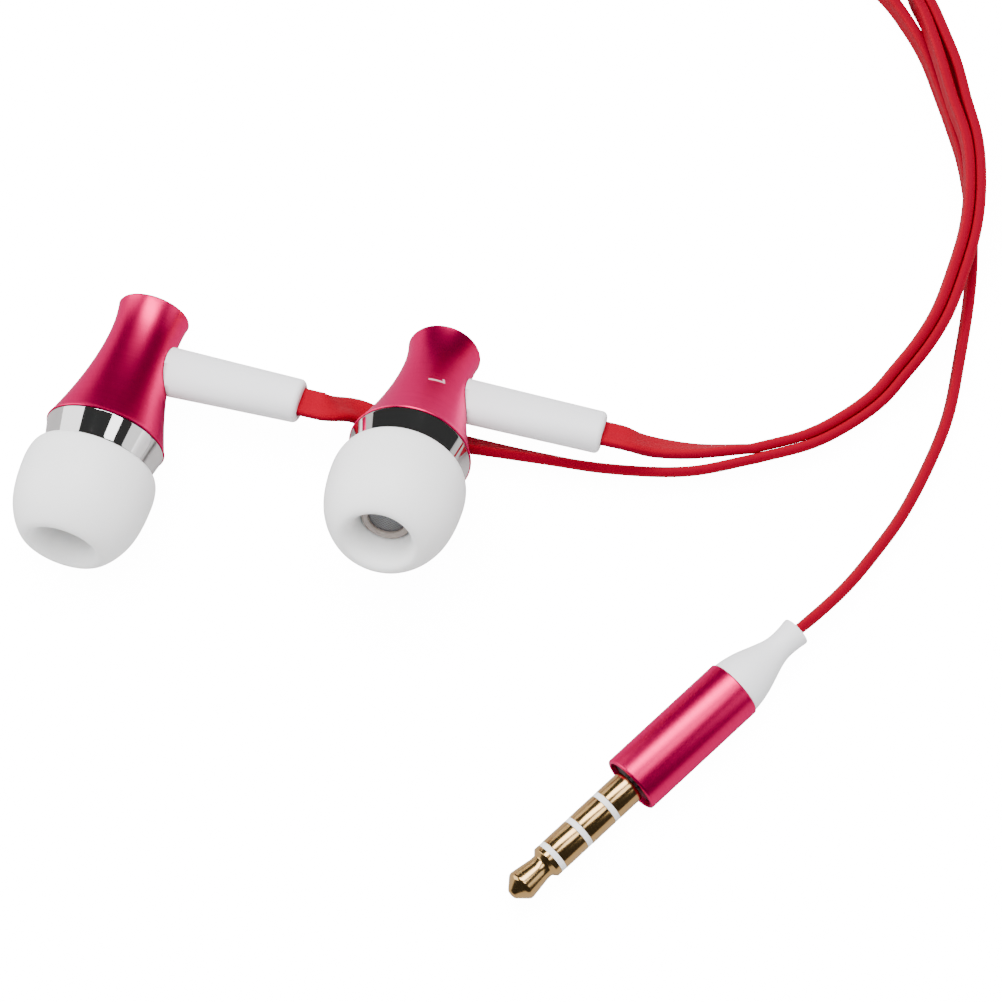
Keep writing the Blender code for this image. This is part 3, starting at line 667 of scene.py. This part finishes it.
plugValues = {
    "shellRadius": 3.15,
    "shellLength": 14.3,
    "boreRadius": 2.7,
    "lipRadius": 2.72,
    "jackRadius": 1.75,
    "jackBore": 0.62,
    "bodyEnd": -10.6,
    "reliefEnd": -23.0,
    "stack": (
        ("jack_sleeve_contact", 0.05, 3.0),
        ("jack_insulator_3", 3.0, 3.6),
        ("jack_ring_2", 3.6, 6.7),
        ("jack_insulator_2", 6.7, 7.3),
        ("jack_ring_1", 7.3, 10.25),
        ("jack_insulator_1", 10.25, 10.85),
    ),
    "tipStart": 10.85,
    "tipEnd": 16.1,
}
stemValues = {
    "height": 6.2,
    "end": 17.85,
    "rootHalf": (1.65, 2.72),
    "endHalf": (1.95, 2.24),
    "corner": 0.55,
    "start": 2.2,
    "sides": 72,
    "gap": 0.06,
}

cordMaterial = makeCordMaterial()
cords = {}
for side in ("right", "left"):
    points, tilts, leave = leadLine(side)
    lead = flatCord(f"leadCord{side.title()}", points, tilts)
    nodes = [f"lead_{side}", f"lead_tail_{side}"] + (["leads_coil"] if side == "left" else [])
    fit(lead, mainBody, cordMaterial, "cord_red", *nodes)
    cords[side] = (lead, points, leave)
points, tilts, leave = mainLine()
mainCord = flatCord("mainCord", points, tilts)
fit(mainCord, mainBody, cordMaterial, "cord_red", "main_cord", "main_cord_head", "main_cord_coil")
cords["main"] = (mainCord, points, leave)


def lengthOf(points):
    return sum((b - a).length for a, b in zip(points, points[1:]))


print("cords done:", {name: round(lengthOf(line[1]), 4) for name, line in cords.items()})


# Materials

anodisedRed = makeMaterial("anodisedRed", {
    "light": (0.95, 0.002, 0.150),
    "dark": (0.86, 0.002, 0.132),
    "roughness": (0.32, 0.38),
    "scale": 60.0,
    "stretch": (1, 1, 60),
    "bump": 0.04,
    "sockets": {
        "Metallic": 1.0,
        "Specular Tint": (0.9, 0.5, 0.75, 1),
        "Coat Weight": 0.05,
        "Coat Roughness": 0.22,
    },
})
chrome = makeMaterial("chrome", {
    "light": (0.72, 0.71, 0.71),
    "dark": (0.66, 0.65, 0.65),
    "roughness": (0.03, 0.06),
    "scale": 200.0,
    "bump": 0.01,
    "sockets": {"Metallic": 1.0},
})
siliconeWhite = makeMaterial("siliconeWhite", {
    "light": (0.88, 0.88, 0.88),
    "dark": (0.86, 0.86, 0.86),
    "roughness": (0.42, 0.5),
    "scale": 900.0,
    "bump": 0.05,
    "sockets": {
        "Subsurface Weight": 0.25,
        "Subsurface Radius": (1.2, 1.1, 1.0),
        "Subsurface Scale": 0.001,
    },
})
rubberWhite = makeMaterial("rubberWhite", {
    "light": (0.79, 0.79, 0.81),
    "dark": (0.76, 0.76, 0.78),
    "roughness": (0.5, 0.6),
    "scale": 1600.0,
    "bump": 0.08,
})
plasticWhite = makeMaterial("plasticWhite", {
    "light": (0.78, 0.78, 0.79),
    "dark": (0.75, 0.75, 0.76),
    "roughness": (0.34, 0.42),
    "scale": 1500.0,
    "bump": 0.06,
})
plasticBeige = makeMaterial("plasticBeige", {
    "light": (0.40, 0.35, 0.32),
    "dark": (0.35, 0.30, 0.27),
    "roughness": (0.4, 0.5),
    "scale": 1500.0,
    "bump": 0.06,
})
markWhite = makeMaterial("markWhite", {
    "light": (0.62, 0.30, 0.36),
    "dark": (0.56, 0.26, 0.32),
    "roughness": (0.4, 0.5),
    "scale": 900.0,
    "bump": 0.02,
})
gold = makeMaterial("gold", {
    "light": (0.64, 0.41, 0.17),
    "dark": (0.56, 0.34, 0.13),
    "roughness": (0.13, 0.19),
    "scale": 60.0,
    "stretch": (1, 1, 80),
    "bump": 0.03,
    "sockets": {"Metallic": 1.0},
})
steel = makeMaterial("steel", {
    "light": (0.52, 0.52, 0.53),
    "dark": (0.44, 0.44, 0.46),
    "roughness": (0.28, 0.4),
    "scale": 60.0,
    "stretch": (1, 1, 60),
    "bump": 0.05,
    "sockets": {"Metallic": 1.0},
})
magnetGrey = makeMaterial("magnetGrey", {
    "light": (0.30, 0.30, 0.32),
    "dark": (0.24, 0.24, 0.26),
    "roughness": (0.25, 0.4),
    "scale": 800.0,
    "bump": 0.05,
    "sockets": {"Metallic": 1.0},
})
copper = makeMaterial("copper", {
    "light": (0.74, 0.34, 0.15),
    "dark": (0.62, 0.26, 0.11),
    "roughness": (0.25, 0.38),
    "scale": 80.0,
    "stretch": (1, 1, 120),
    "bump": 0.2,
    "sockets": {"Metallic": 1.0},
})
film = makeMaterial("film", {
    "light": (0.74, 0.71, 0.60),
    "dark": (0.66, 0.62, 0.50),
    "roughness": (0.15, 0.25),
    "scale": 400.0,
    "bump": 0.03,
})
boardGreen = makeMaterial("boardGreen", {
    "light": (0.03, 0.17, 0.07),
    "dark": (0.02, 0.12, 0.05),
    "roughness": (0.3, 0.45),
    "scale": 700.0,
    "bump": 0.1,
})
blackPlastic = makeMaterial("blackPlastic", {
    "light": (0.035, 0.035, 0.038),
    "dark": (0.025, 0.025, 0.028),
    "roughness": (0.4, 0.55),
    "scale": 1200.0,
    "bump": 0.08,
})


def makeMeshMaterial():
    # woven steel wires as a fine square weave
    made = bpy.data.materials.new("wovenMesh")
    made.use_nodes = True
    tree = made.node_tree
    shader = tree.nodes["Principled BSDF"]
    shader.inputs["Metallic"].default_value = 0.7
    shader.inputs["Roughness"].default_value = 0.42
    place = addNode(tree, "ShaderNodeTexCoord")
    split = addNode(tree, "ShaderNodeSeparateXYZ")
    link = tree.links.new
    link(place.outputs["Object"], split.inputs["Vector"])
    waves = []
    for axis in ("X", "Y"):
        scaled = addNode(tree, "ShaderNodeMath", operation="MULTIPLY")
        scaled.inputs[1].default_value = 18000.0
        wave = addNode(tree, "ShaderNodeMath", operation="SINE")
        link(split.outputs[axis], scaled.inputs[0])
        link(scaled.outputs["Value"], wave.inputs[0])
        waves.append(wave)
    weave = addNode(tree, "ShaderNodeMath", operation="MULTIPLY")
    link(waves[0].outputs["Value"], weave.inputs[0])
    link(waves[1].outputs["Value"], weave.inputs[1])
    spread = addNode(tree, "ShaderNodeMapRange")
    spread.inputs["From Min"].default_value = -1.0
    tone = addNode(tree, "ShaderNodeMix", data_type="RGBA")
    tone.inputs["A"].default_value = (0.02, 0.02, 0.022, 1)
    tone.inputs["B"].default_value = (0.30, 0.30, 0.31, 1)
    bump = addNode(tree, "ShaderNodeBump")
    bump.inputs["Strength"].default_value = 0.5
    bump.inputs["Distance"].default_value = 0.03 * mm
    link(weave.outputs["Value"], spread.inputs["Value"])
    link(spread.outputs["Result"], tone.inputs["Factor"])
    link(spread.outputs["Result"], bump.inputs["Height"])
    link(tone.outputs["Result"], shader.inputs["Base Color"])
    link(bump.outputs["Normal"], shader.inputs["Normal"])
    return made


wovenMesh = makeMeshMaterial()
print("materials done")


# Barrels

barrelValues = {
    "length": 15.2,
    "rim": 3.8,
    "waist": 3.5,
    "flare": 6.25,
    "flareStart": 3.0,
    "flarePower": 1.7,
    "spigot": 1.45,
}


def barrelRadius(height):
    shape = barrelValues
    if height < shape["flareStart"]:
        rim = 1 - height / shape["flareStart"]
        return shape["waist"] + (shape["rim"] - shape["waist"]) * rim**2
    reach = (height - shape["flareStart"]) / (shape["length"] - shape["flareStart"])
    return shape["waist"] + (shape["flare"] - shape["waist"]) * reach ** shape["flarePower"]


def barrelOutline(grow, low, high, count):
    heights = [low + (high - low) * i / (count - 1) for i in range(count)]
    return [(barrelRadius(height) + grow, height) for height in reversed(heights)]


def makeBarrel(side):
    place = budFrames[side]
    length = barrelValues["length"]
    mouth = [(6.2, length), (barrelValues["flare"], length - 0.1)]
    outer = barrelOutline(0.0, 0.5, length - 0.25, 48)
    back = [
        (3.76, 0.28), (3.68, 0.12), (3.54, 0.03), (3.35, 0.0),
        (3.05, 0.0, 0.06), (2.98, 0.12, 0.06), (0.0, 0.12),
    ]
    hollow = [
        (0.0, 1.2), (2.65, 1.2, 0.3), (2.65, 7.8, 0.6), (3.5, 10.4), (4.2, 11.6),
        (4.75, 12.6), (4.75, 14.2), (5.5, 14.2), (5.5, length, 0.08),
    ]
    barrel = lathe(f"barrelShell{side.title()}", mouth + outer + back + hollow, place)
    bore = place @ Matrix.Translation(Vector((0, 0, stemValues["height"])) * mm)
    bore = bore @ Matrix.Rotation(math.pi / 2, 4, "Y")
    radius = barrelValues["spigot"] + 0.05
    carve(barrel, lathe("bore", [(0, 6), (radius, 6), (radius, 0), (0, 0)], bore, 64))
    fit(barrel, mainBody, anodisedRed, "aluminium_red", f"barrel_{side}")


def makeRing(side):
    profile = [
        (5.05, 18.1, 0.1), (5.4, 18.1, 0.15), (5.52, 17.85, 0.15),
        (5.58, 17.6), (6.1, 15.42), (6.15, 15.25, 0.12), (5.45, 15.25),
        (5.45, 14.25), (4.8, 14.25), (4.8, 16.2), (5.05, 16.2),
    ]
    ring = lathe(f"trimRing{side.title()}", profile, budFrames[side])
    fit(ring, mainBody, chrome, "trim_chrome", f"trim_ring_{side}")


# Ear tips and nozzles

tipValues = {"start": 17.75, "end": 28.0, "radius": 6.78, "bore": 2.7, "wall": 0.7}


def makeTip(side):
    end = tipValues["end"]
    outer = [
        (2.72, end - 2.6), (2.8, end - 2.0), (2.95, end - 1.3), (3.18, end - 0.7),
        (3.45, end - 0.25), (3.78, end), (4.2, end - 0.06), (4.65, end - 0.36), (5.1, end - 0.86),
        (5.55, end - 1.5), (5.98, end - 2.3), (6.35, end - 3.25), (6.62, end - 4.4),
        (6.78, end - 5.7), (6.84, end - 7.0), (6.82, end - 8.0), (6.68, end - 8.9),
        (6.48, end - 9.45), (6.3, end - 9.7), (6.1, end - 9.75), (5.75, end - 9.7),
    ]
    skirt = [
        (5.95, end - 9.0), (6.1, end - 8.2), (6.12, end - 7.0), (6.0, end - 5.6),
        (5.6, end - 4.4), (4.6, end - 2.6), (3.8, end - 2.2), (3.4, end - 2.6),
        (3.4, 19.4, 0.15), (2.7, 19.4, 0.15), (2.7, 25.2),
    ]
    smooth = smoothCurve([(r, 0, h) for r, h in outer], 0.2)
    profile = [(point.x, point.z) for point in smooth] + skirt
    tip = lathe(f"earTip{side.title()}", profile, budFrames[side], 144)
    fit(tip, f"ear_tip_{side}", siliconeWhite, "tip_silicone", f"ear_tip_{side}")


def makeNozzle(side):
    profile = [
        (1.88, 24.9, 0.06), (2.05, 25.0, 0.06), (2.5, 25.0, 0.2), (2.5, 18.6), (3.4, 17.6),
        (4.95, 17.4, 0.1), (4.95, 16.4), (3.8, 16.4), (1.4, 18.4), (1.4, 24.1), (1.88, 24.1),
    ]
    nozzle = lathe(f"nozzleTube{side.title()}", profile, budFrames[side], 96)
    fit(nozzle, mainBody, plasticBeige, "nozzle_plastic", f"nozzle_{side}")
    disc = [(0.0, 24.7), (0.8, 24.69), (1.5, 24.66), (1.85, 24.62, 0.05), (1.85, 24.15), (0.0, 24.15)]
    mesh = lathe(f"nozzleScreen{side.title()}", disc, budFrames[side], 96)
    fit(mesh, mainBody, wovenMesh, "mesh_steel", f"nozzle_mesh_{side}")


# Stems

def ovalRing(cage, x, halfY, halfZ):
    ring = []
    for i in range(stemValues["sides"]):
        angle = math.tau * i / stemValues["sides"]
        c, s = math.cos(angle), math.sin(angle)
        y = halfY * math.copysign(abs(c) ** 0.92, c)
        z = stemValues["height"] + halfZ * math.copysign(abs(s) ** 0.92, s)
        ring.append(cage.verts.new((x * mm, y * mm, z * mm)))
    return ring


def makeStem(side):
    place = budFrames[side]
    start, end, corner = stemValues["start"], stemValues["end"], stemValues["corner"]
    stations = [(start + (end - corner - start) * i / 24, 0.0) for i in range(25)]
    for k in range(1, 8):
        angle = math.pi / 2 * k / 7
        stations.append((end - corner + corner * math.sin(angle), corner * (1 - math.cos(angle))))
    cage = bmesh.new()
    rings = []
    for x, inset in stations:
        reach = (x - start) / (end - start)
        halves = []
        for root, tip in zip(stemValues["rootHalf"], stemValues["endHalf"]):
            halves.append(root + (tip - root) * reach - inset)
        rings.append(ovalRing(cage, x, *halves))
    sides = stemValues["sides"]
    for first, second in zip(rings, rings[1:]):
        for i in range(sides):
            j = (i + 1) % sides
            cage.faces.new((first[i], first[j], second[j], second[i]))
    cage.faces.new(reversed(rings[0]))
    cage.faces.new(rings[-1])
    stem = finishMesh(cage, f"cableStem{side.title()}", place)
    saddle = [(0.0, 12.0)] + barrelOutline(stemValues["gap"], 0.6, 12.0, 40) + [(0.0, 0.6)]
    carve(stem, lathe("saddle", saddle, place))
    across = place @ Matrix.Translation(Vector((0, 0, stemValues["height"])) * mm)
    across = across @ Matrix.Rotation(math.pi / 2, 4, "Y")
    spigot = barrelValues["spigot"]
    carve(stem, lathe("spigot", [(0, 6), (spigot, 6), (spigot, 1.4), (0, 1.4)], across, 64), "UNION")
    width = cordValues["width"] + 0.24
    thickness = cordValues["thickness"] + 0.24
    slot = roundedBox("slot", (3.0, thickness, width), (end, 0, stemValues["height"]), place, 0.35)
    carve(stem, slot)
    fit(stem, mainBody, rubberWhite, "white_rubber", f"cable_stem_{side}")


markValues = {
    "corner": (8.5, 67.0),
    "arm": 1.75,
    "foot": 0.62,
    "stroke": 0.24,
    "turn": 12.0,
    "lift": (0.005, 0.035),
    "cells": 12,
}


def makeMark():
    # a raised letter L that follows the barrel's curve
    shape = markValues
    stroke = shape["stroke"]
    turn = math.radians(shape["turn"])
    height, degrees = shape["corner"]
    along = [stroke + (shape["arm"] - stroke) * i / shape["cells"] for i in range(shape["cells"] + 1)]
    down = [stroke, (stroke + shape["foot"]) / 2, shape["foot"]]
    cage = bmesh.new()
    found = {}

    def cornerAt(x, y):
        if (x, y) not in found:
            around = x * math.cos(turn) + y * math.sin(turn)
            lengthwise = height + x * math.sin(turn) - y * math.cos(turn)
            radius = barrelRadius(lengthwise) + shape["lift"][1]
            angle = math.radians(degrees) + around / radius
            spot = Vector((radius * math.cos(angle), radius * math.sin(angle), lengthwise))
            found[(x, y)] = cage.verts.new(spot * mm)
        return found[(x, y)]

    def cell(x0, x1, y0, y1):
        cage.faces.new((cornerAt(x0, y0), cornerAt(x1, y0), cornerAt(x1, y1), cornerAt(x0, y1)))

    cell(0.0, stroke, 0.0, stroke)
    for x0, x1 in zip(along, along[1:]):
        cell(x0, x1, 0.0, stroke)
    for y0, y1 in zip(down, down[1:]):
        cell(0.0, stroke, y0, y1)
    thickness = (shape["lift"][1] - shape["lift"][0]) * mm
    bmesh.ops.recalc_face_normals(cage, faces=cage.faces)
    outward = cage.faces[:][0]
    if outward.normal.dot(outward.calc_center_median() * Vector((1, 1, 0))) < 0:
        bmesh.ops.reverse_faces(cage, faces=cage.faces)
    bmesh.ops.solidify(cage, geom=cage.faces[:], thickness=thickness)
    mark = finishMesh(cage, "sideMark", budFrames["left"])
    fit(mark, mainBody, markWhite, None)


for side in ("right", "left"):
    makeBarrel(side)
    makeRing(side)
    makeTip(side)
    makeNozzle(side)
    makeStem(side)
makeMark()
print("buds done")


# Plug

def makePlug():
    place = plugFrame()
    shape = plugValues
    pieces = []
    wall, hollow, back = shape["shellRadius"], shape["boreRadius"], -shape["shellLength"]
    shell = [
        (shape["lipRadius"], 0.0, 0.1), (wall, 0.0, 0.24), (wall, back, 0.12), (hollow, back),
        (hollow, -1.0), (shape["lipRadius"], -1.0),
    ]
    sleeve = lathe("plugShell", shell, place)
    pieces.append(fit(sleeve, mainBody, anodisedRed, "aluminium_red", "plug_shell"))
    body = [
        (0.6, -0.5), (2.62, -0.5, 0.1), (2.62, shape["bodyEnd"]), (0.6, shape["bodyEnd"]),
    ]
    core = lathe("plugBody", body, place, 96)
    pieces.append(fit(core, mainBody, blackPlastic, "plug_body_plastic", "plug_body"))
    controls = [
        (2.98, -14.36), (2.93, -14.9), (2.8, -15.7), (2.5, -16.9), (2.1, -18.05),
        (1.75, -19.05), (1.5, -19.9), (1.4, -20.6), (1.4, -21.4), (1.47, -22.2),
    ]
    smooth = smoothCurve([(r, 0, h) for r, h in controls], 0.3)
    outer = [(point.x, point.z) for point in smooth]
    far = shape["reliefEnd"]
    outer += [(1.55, far + 0.3), (1.55, far, 0.12), (0.8, far)]
    inner = [(0.8, -10.8), (2.6, -10.8), (2.6, -14.36)]
    relief = lathe("plugStrainRelief", outer + inner, place, 96)
    pieces.append(fit(relief, mainBody, rubberWhite, "white_rubber", "plug_strain_relief"))
    radius, bore = shape["jackRadius"], shape["jackBore"]
    for name, low, high in shape["stack"]:
        ring = [(bore, high), (radius, high, 0.06), (radius, low + 0.01, 0.06), (bore, low + 0.01)]
        if "insulator" in name:
            ring = [(bore, high), (radius - 0.02, high), (radius - 0.02, low + 0.01), (bore, low + 0.01)]
        words = "".join(word.title() for word in name.split("_")[1:])
        piece = lathe(f"jack{words}", ring, place, 96)
        white = "insulator" in name
        finish = plasticWhite if white else gold
        slot = "insulator_white" if white else "contact_gold"
        pieces.append(fit(piece, mainBody, finish, slot, name))
    end = shape["tipEnd"]
    start = shape["tipStart"]
    tip = [
        (0.0, end), (0.5, end - 0.04, 0.2), (1.66, end - 1.3, 0.3), (1.28, end - 3.8, 0.3),
        (1.28, end - 4.3, 0.1),
        (radius, start + 0.5, 0.06), (radius, start + 0.02), (bore, start + 0.02),
        (bore, end - 2.4), (0.0, end - 2.4),
    ]
    piece = lathe("jackTipContact", tip, place, 96)
    pieces.append(fit(piece, mainBody, gold, "contact_gold", "jack_tip"))
    return pieces


plugPieces = makePlug()
print("plug done")


# Remote

remoteValues = {
    "length": 13.0,
    "width": 5.2,
    "base": 0.1,
    "join": 2.4,
    "top": 4.5,
    "wall": 0.7,
    "bevel": 0.9,
}


def makeRemote():
    place = remoteFrame()
    shape = remoteValues
    length, width, wall = shape["length"], shape["width"], shape["wall"]
    low, high, join = shape["base"], shape["top"], shape["join"]
    middle = (low + high) / 2
    pieces = []
    halves = (
        ("remoteBackCover", "remote_back_cover", -5.0, join),
        ("remoteFrontCover", "remote_front_cover", join + 0.05, 10.0),
    )
    for name, node, cutLow, cutHigh in halves:
        cover = roundedBox(name, (length, width, high - low), (0, 0, middle), place, shape["bevel"], 8)
        room = (length - 2 * wall, width - 2 * wall, high - low - 2 * wall)
        carve(cover, roundedBox("room", room, (0, 0, middle), place, 0.0))
        keep = roundedBox("keep", (30, 30, cutHigh - cutLow), (0, 0, (cutLow + cutHigh) / 2), place, 0.0)
        carve(cover, keep, "INTERSECT")
        carve(cover, roundedBox("entry", (4, 2.5, 3.3), (-length / 2, 0, 1.6), place, 0.25))
        carve(cover, roundedBox("leave", (4, 1.3, 3.3), (length / 2, 0, 1.6), place, 0.25))
        if node == "remote_front_cover":
            carve(cover, roundedBox("gate", (4.8, 2.6, 4), (0, 0, high + 1), place, 0.4))
            ear = place @ Matrix.Translation(Vector((4.0, 0, 0)) * mm)
            carve(cover, lathe("ear", [(0, 6), (0.4, 6), (0.4, 3), (0, 3)], ear, 32))
        pieces.append(fit(cover, mainBody, plasticWhite, "remote_white", node))
    button = roundedBox("remoteButton", (4.6, 2.4, 1.7), (0, 0, 4.15), place, 0.3)
    foot = roundedBox("foot", (5.4, 3.2, 0.38), (0, 0, 3.49), place, 0.0)
    carve(button, foot, "UNION")
    pieces.append(fit(button, "remote_button", anodisedRed, "remote_button", "remote_button"))
    return pieces


remotePieces = makeRemote()
print("remote done")


# Tie around the coil

tieValues = {"wall": 0.45, "width": 5.0, "bevel": 0.45}


def makeTie():
    low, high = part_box("coil_tie")
    middle = (low + high) / 2
    coil = middleOf("main_cord_coil")
    out = Vector((middle.x - coil.x, middle.y - coil.y, 0)).normalized()
    place = frameFrom(Vector((middle.x, middle.y, 0)), out, up)
    size = (9.4, tieValues["width"], (high.z - low.z) / mm)
    height = (low.z + high.z) / 2 / mm
    tie = roundedBox("coilTie", size, (0, 0, height), place, 0.42, 4)
    wall = tieValues["wall"]
    hole = (size[0] - 2 * wall, 12, size[2] - 2 * wall)
    carve(tie, roundedBox("tieHole", hole, (0, 0, height), place, 0.25))
    return fit(tie, mainBody, rubberWhite, "tie_silicone", "coil_tie")


tiePiece = makeTie()


# Inner parts keep their solids

innerLooks = {
    "driver_frame": (blackPlastic, "driver_frame_plastic"),
    "driver_yoke": (steel, "driver_steel"),
    "driver_plate": (steel, "driver_steel"),
    "driver_magnet": (magnetGrey, "magnet"),
    "driver_board": (boardGreen, "circuit_board"),
    "voice_coil": (copper, "coil_copper"),
    "diaphragm": (film, "diaphragm_film"),
    "remote_board": (boardGreen, "circuit_board"),
    "remote_switch": (blackPlastic, "small_parts_black"),
    "remote_microphone": (steel, "microphone_can"),
    "jack_core": (steel, "jack_core_brass"),
}
for name, node in frame["nodes"].items():
    stem = name.removesuffix("_left").removesuffix("_right")
    if stem in innerLooks:
        node.data.materials.clear()
        node.data.materials.append(innerLooks[stem][0])
print("inner parts done")


# Each cord's object, points and end point, unpacked again

for side in ("right", "left"):
    lead, points, leave = cords[side]
lead, points, leave = cords["main"]


# Floor and light

floorValues = {
    "size": 4.0,
    "tone": (0.84, 0.84, 0.84),
    "mirrored": (0.33, 0.32, 0.32),
    "glow": 14.0,
}
lightValues = {
    "world": 0.50,
    "mirroredWorld": 0.05,
    "panels": (
        ("topPanel", (0.02, 0.425, 0.9), (0.7, 0.35), 8.5),
        ("leftPanel", (-0.58, 0.16, 0.22), (0.5, 0.6), 3.0),
        ("rightPanel", (0.68, -0.10, 0.36), (0.4, 0.45), 0.9),
        ("frontPanel", (0.28, 0.0, 0.87), (0.22, 0.30), 1.1),
        ("softFill", (-0.08, 0.05, 0.9), (0.7, 0.7), 15.0),
    ),
    "aim": (0.019, -0.004, 0.0),
}


def makeFloor():
    mesh = bpy.data.meshes.new("floor")
    half = floorValues["size"] / 2
    corners = [(-half, -half, 0), (half, -half, 0), (half, half, 0), (-half, half, 0)]
    mesh.from_pydata(corners, [], [(0, 1, 2, 3)])
    floor = bpy.data.objects.new("floor", mesh)
    bpy.context.scene.collection.objects.link(floor)
    finish = bpy.data.materials.new("floor")
    finish.use_nodes = True
    tree = finish.node_tree
    link = tree.links.new
    shader = tree.nodes["Principled BSDF"]
    shader.inputs["Roughness"].default_value = 0.9
    shader.inputs["Emission Color"].default_value = (1, 1, 1, 1)
    seen = addNode(tree, "ShaderNodeLightPath")
    tone = addNode(tree, "ShaderNodeMix", data_type="RGBA")
    tone.inputs["A"].default_value = (*floorValues["tone"], 1)
    tone.inputs["B"].default_value = (*floorValues["mirrored"], 1)
    glow = addNode(tree, "ShaderNodeMath", operation="MULTIPLY")
    glow.inputs[1].default_value = floorValues["glow"]
    link(seen.outputs["Is Glossy Ray"], tone.inputs["Factor"])
    link(tone.outputs["Result"], shader.inputs["Base Color"])
    link(seen.outputs["Is Camera Ray"], glow.inputs[0])
    link(glow.outputs["Value"], shader.inputs["Emission Strength"])
    mesh.materials.append(finish)
    return floor


def makeWorld():
    # the room around is darker in the polished pieces than as a fill
    world = bpy.data.worlds.new("studio")
    bpy.context.scene.world = world
    world.use_nodes = True
    tree = world.node_tree
    back = tree.nodes["Background"]
    back.inputs["Color"].default_value = (1, 1, 1, 1)
    seen = addNode(tree, "ShaderNodeLightPath")
    level = addNode(tree, "ShaderNodeMapRange")
    level.inputs["To Min"].default_value = lightValues["world"]
    level.inputs["To Max"].default_value = lightValues["mirroredWorld"]
    tree.links.new(seen.outputs["Is Glossy Ray"], level.inputs["Value"])
    tree.links.new(level.outputs["Result"], back.inputs["Strength"])


def makeLights():
    aim = Vector(lightValues["aim"])
    for name, location, size, power in lightValues["panels"]:
        data = bpy.data.lights.new(name, "AREA")
        data.shape = "RECTANGLE"
        data.size, data.size_y = size
        data.energy = power
        lamp = bpy.data.objects.new(name, data)
        bpy.context.scene.collection.objects.link(lamp)
        lamp.location = location
        away = Vector(location) - aim
        lamp.rotation_euler = away.to_track_quat("Z", "Y").to_euler()
        lamp.visible_glossy = name != "softFill"


makeFloor()
makeWorld()
makeLights()
print("stage done")
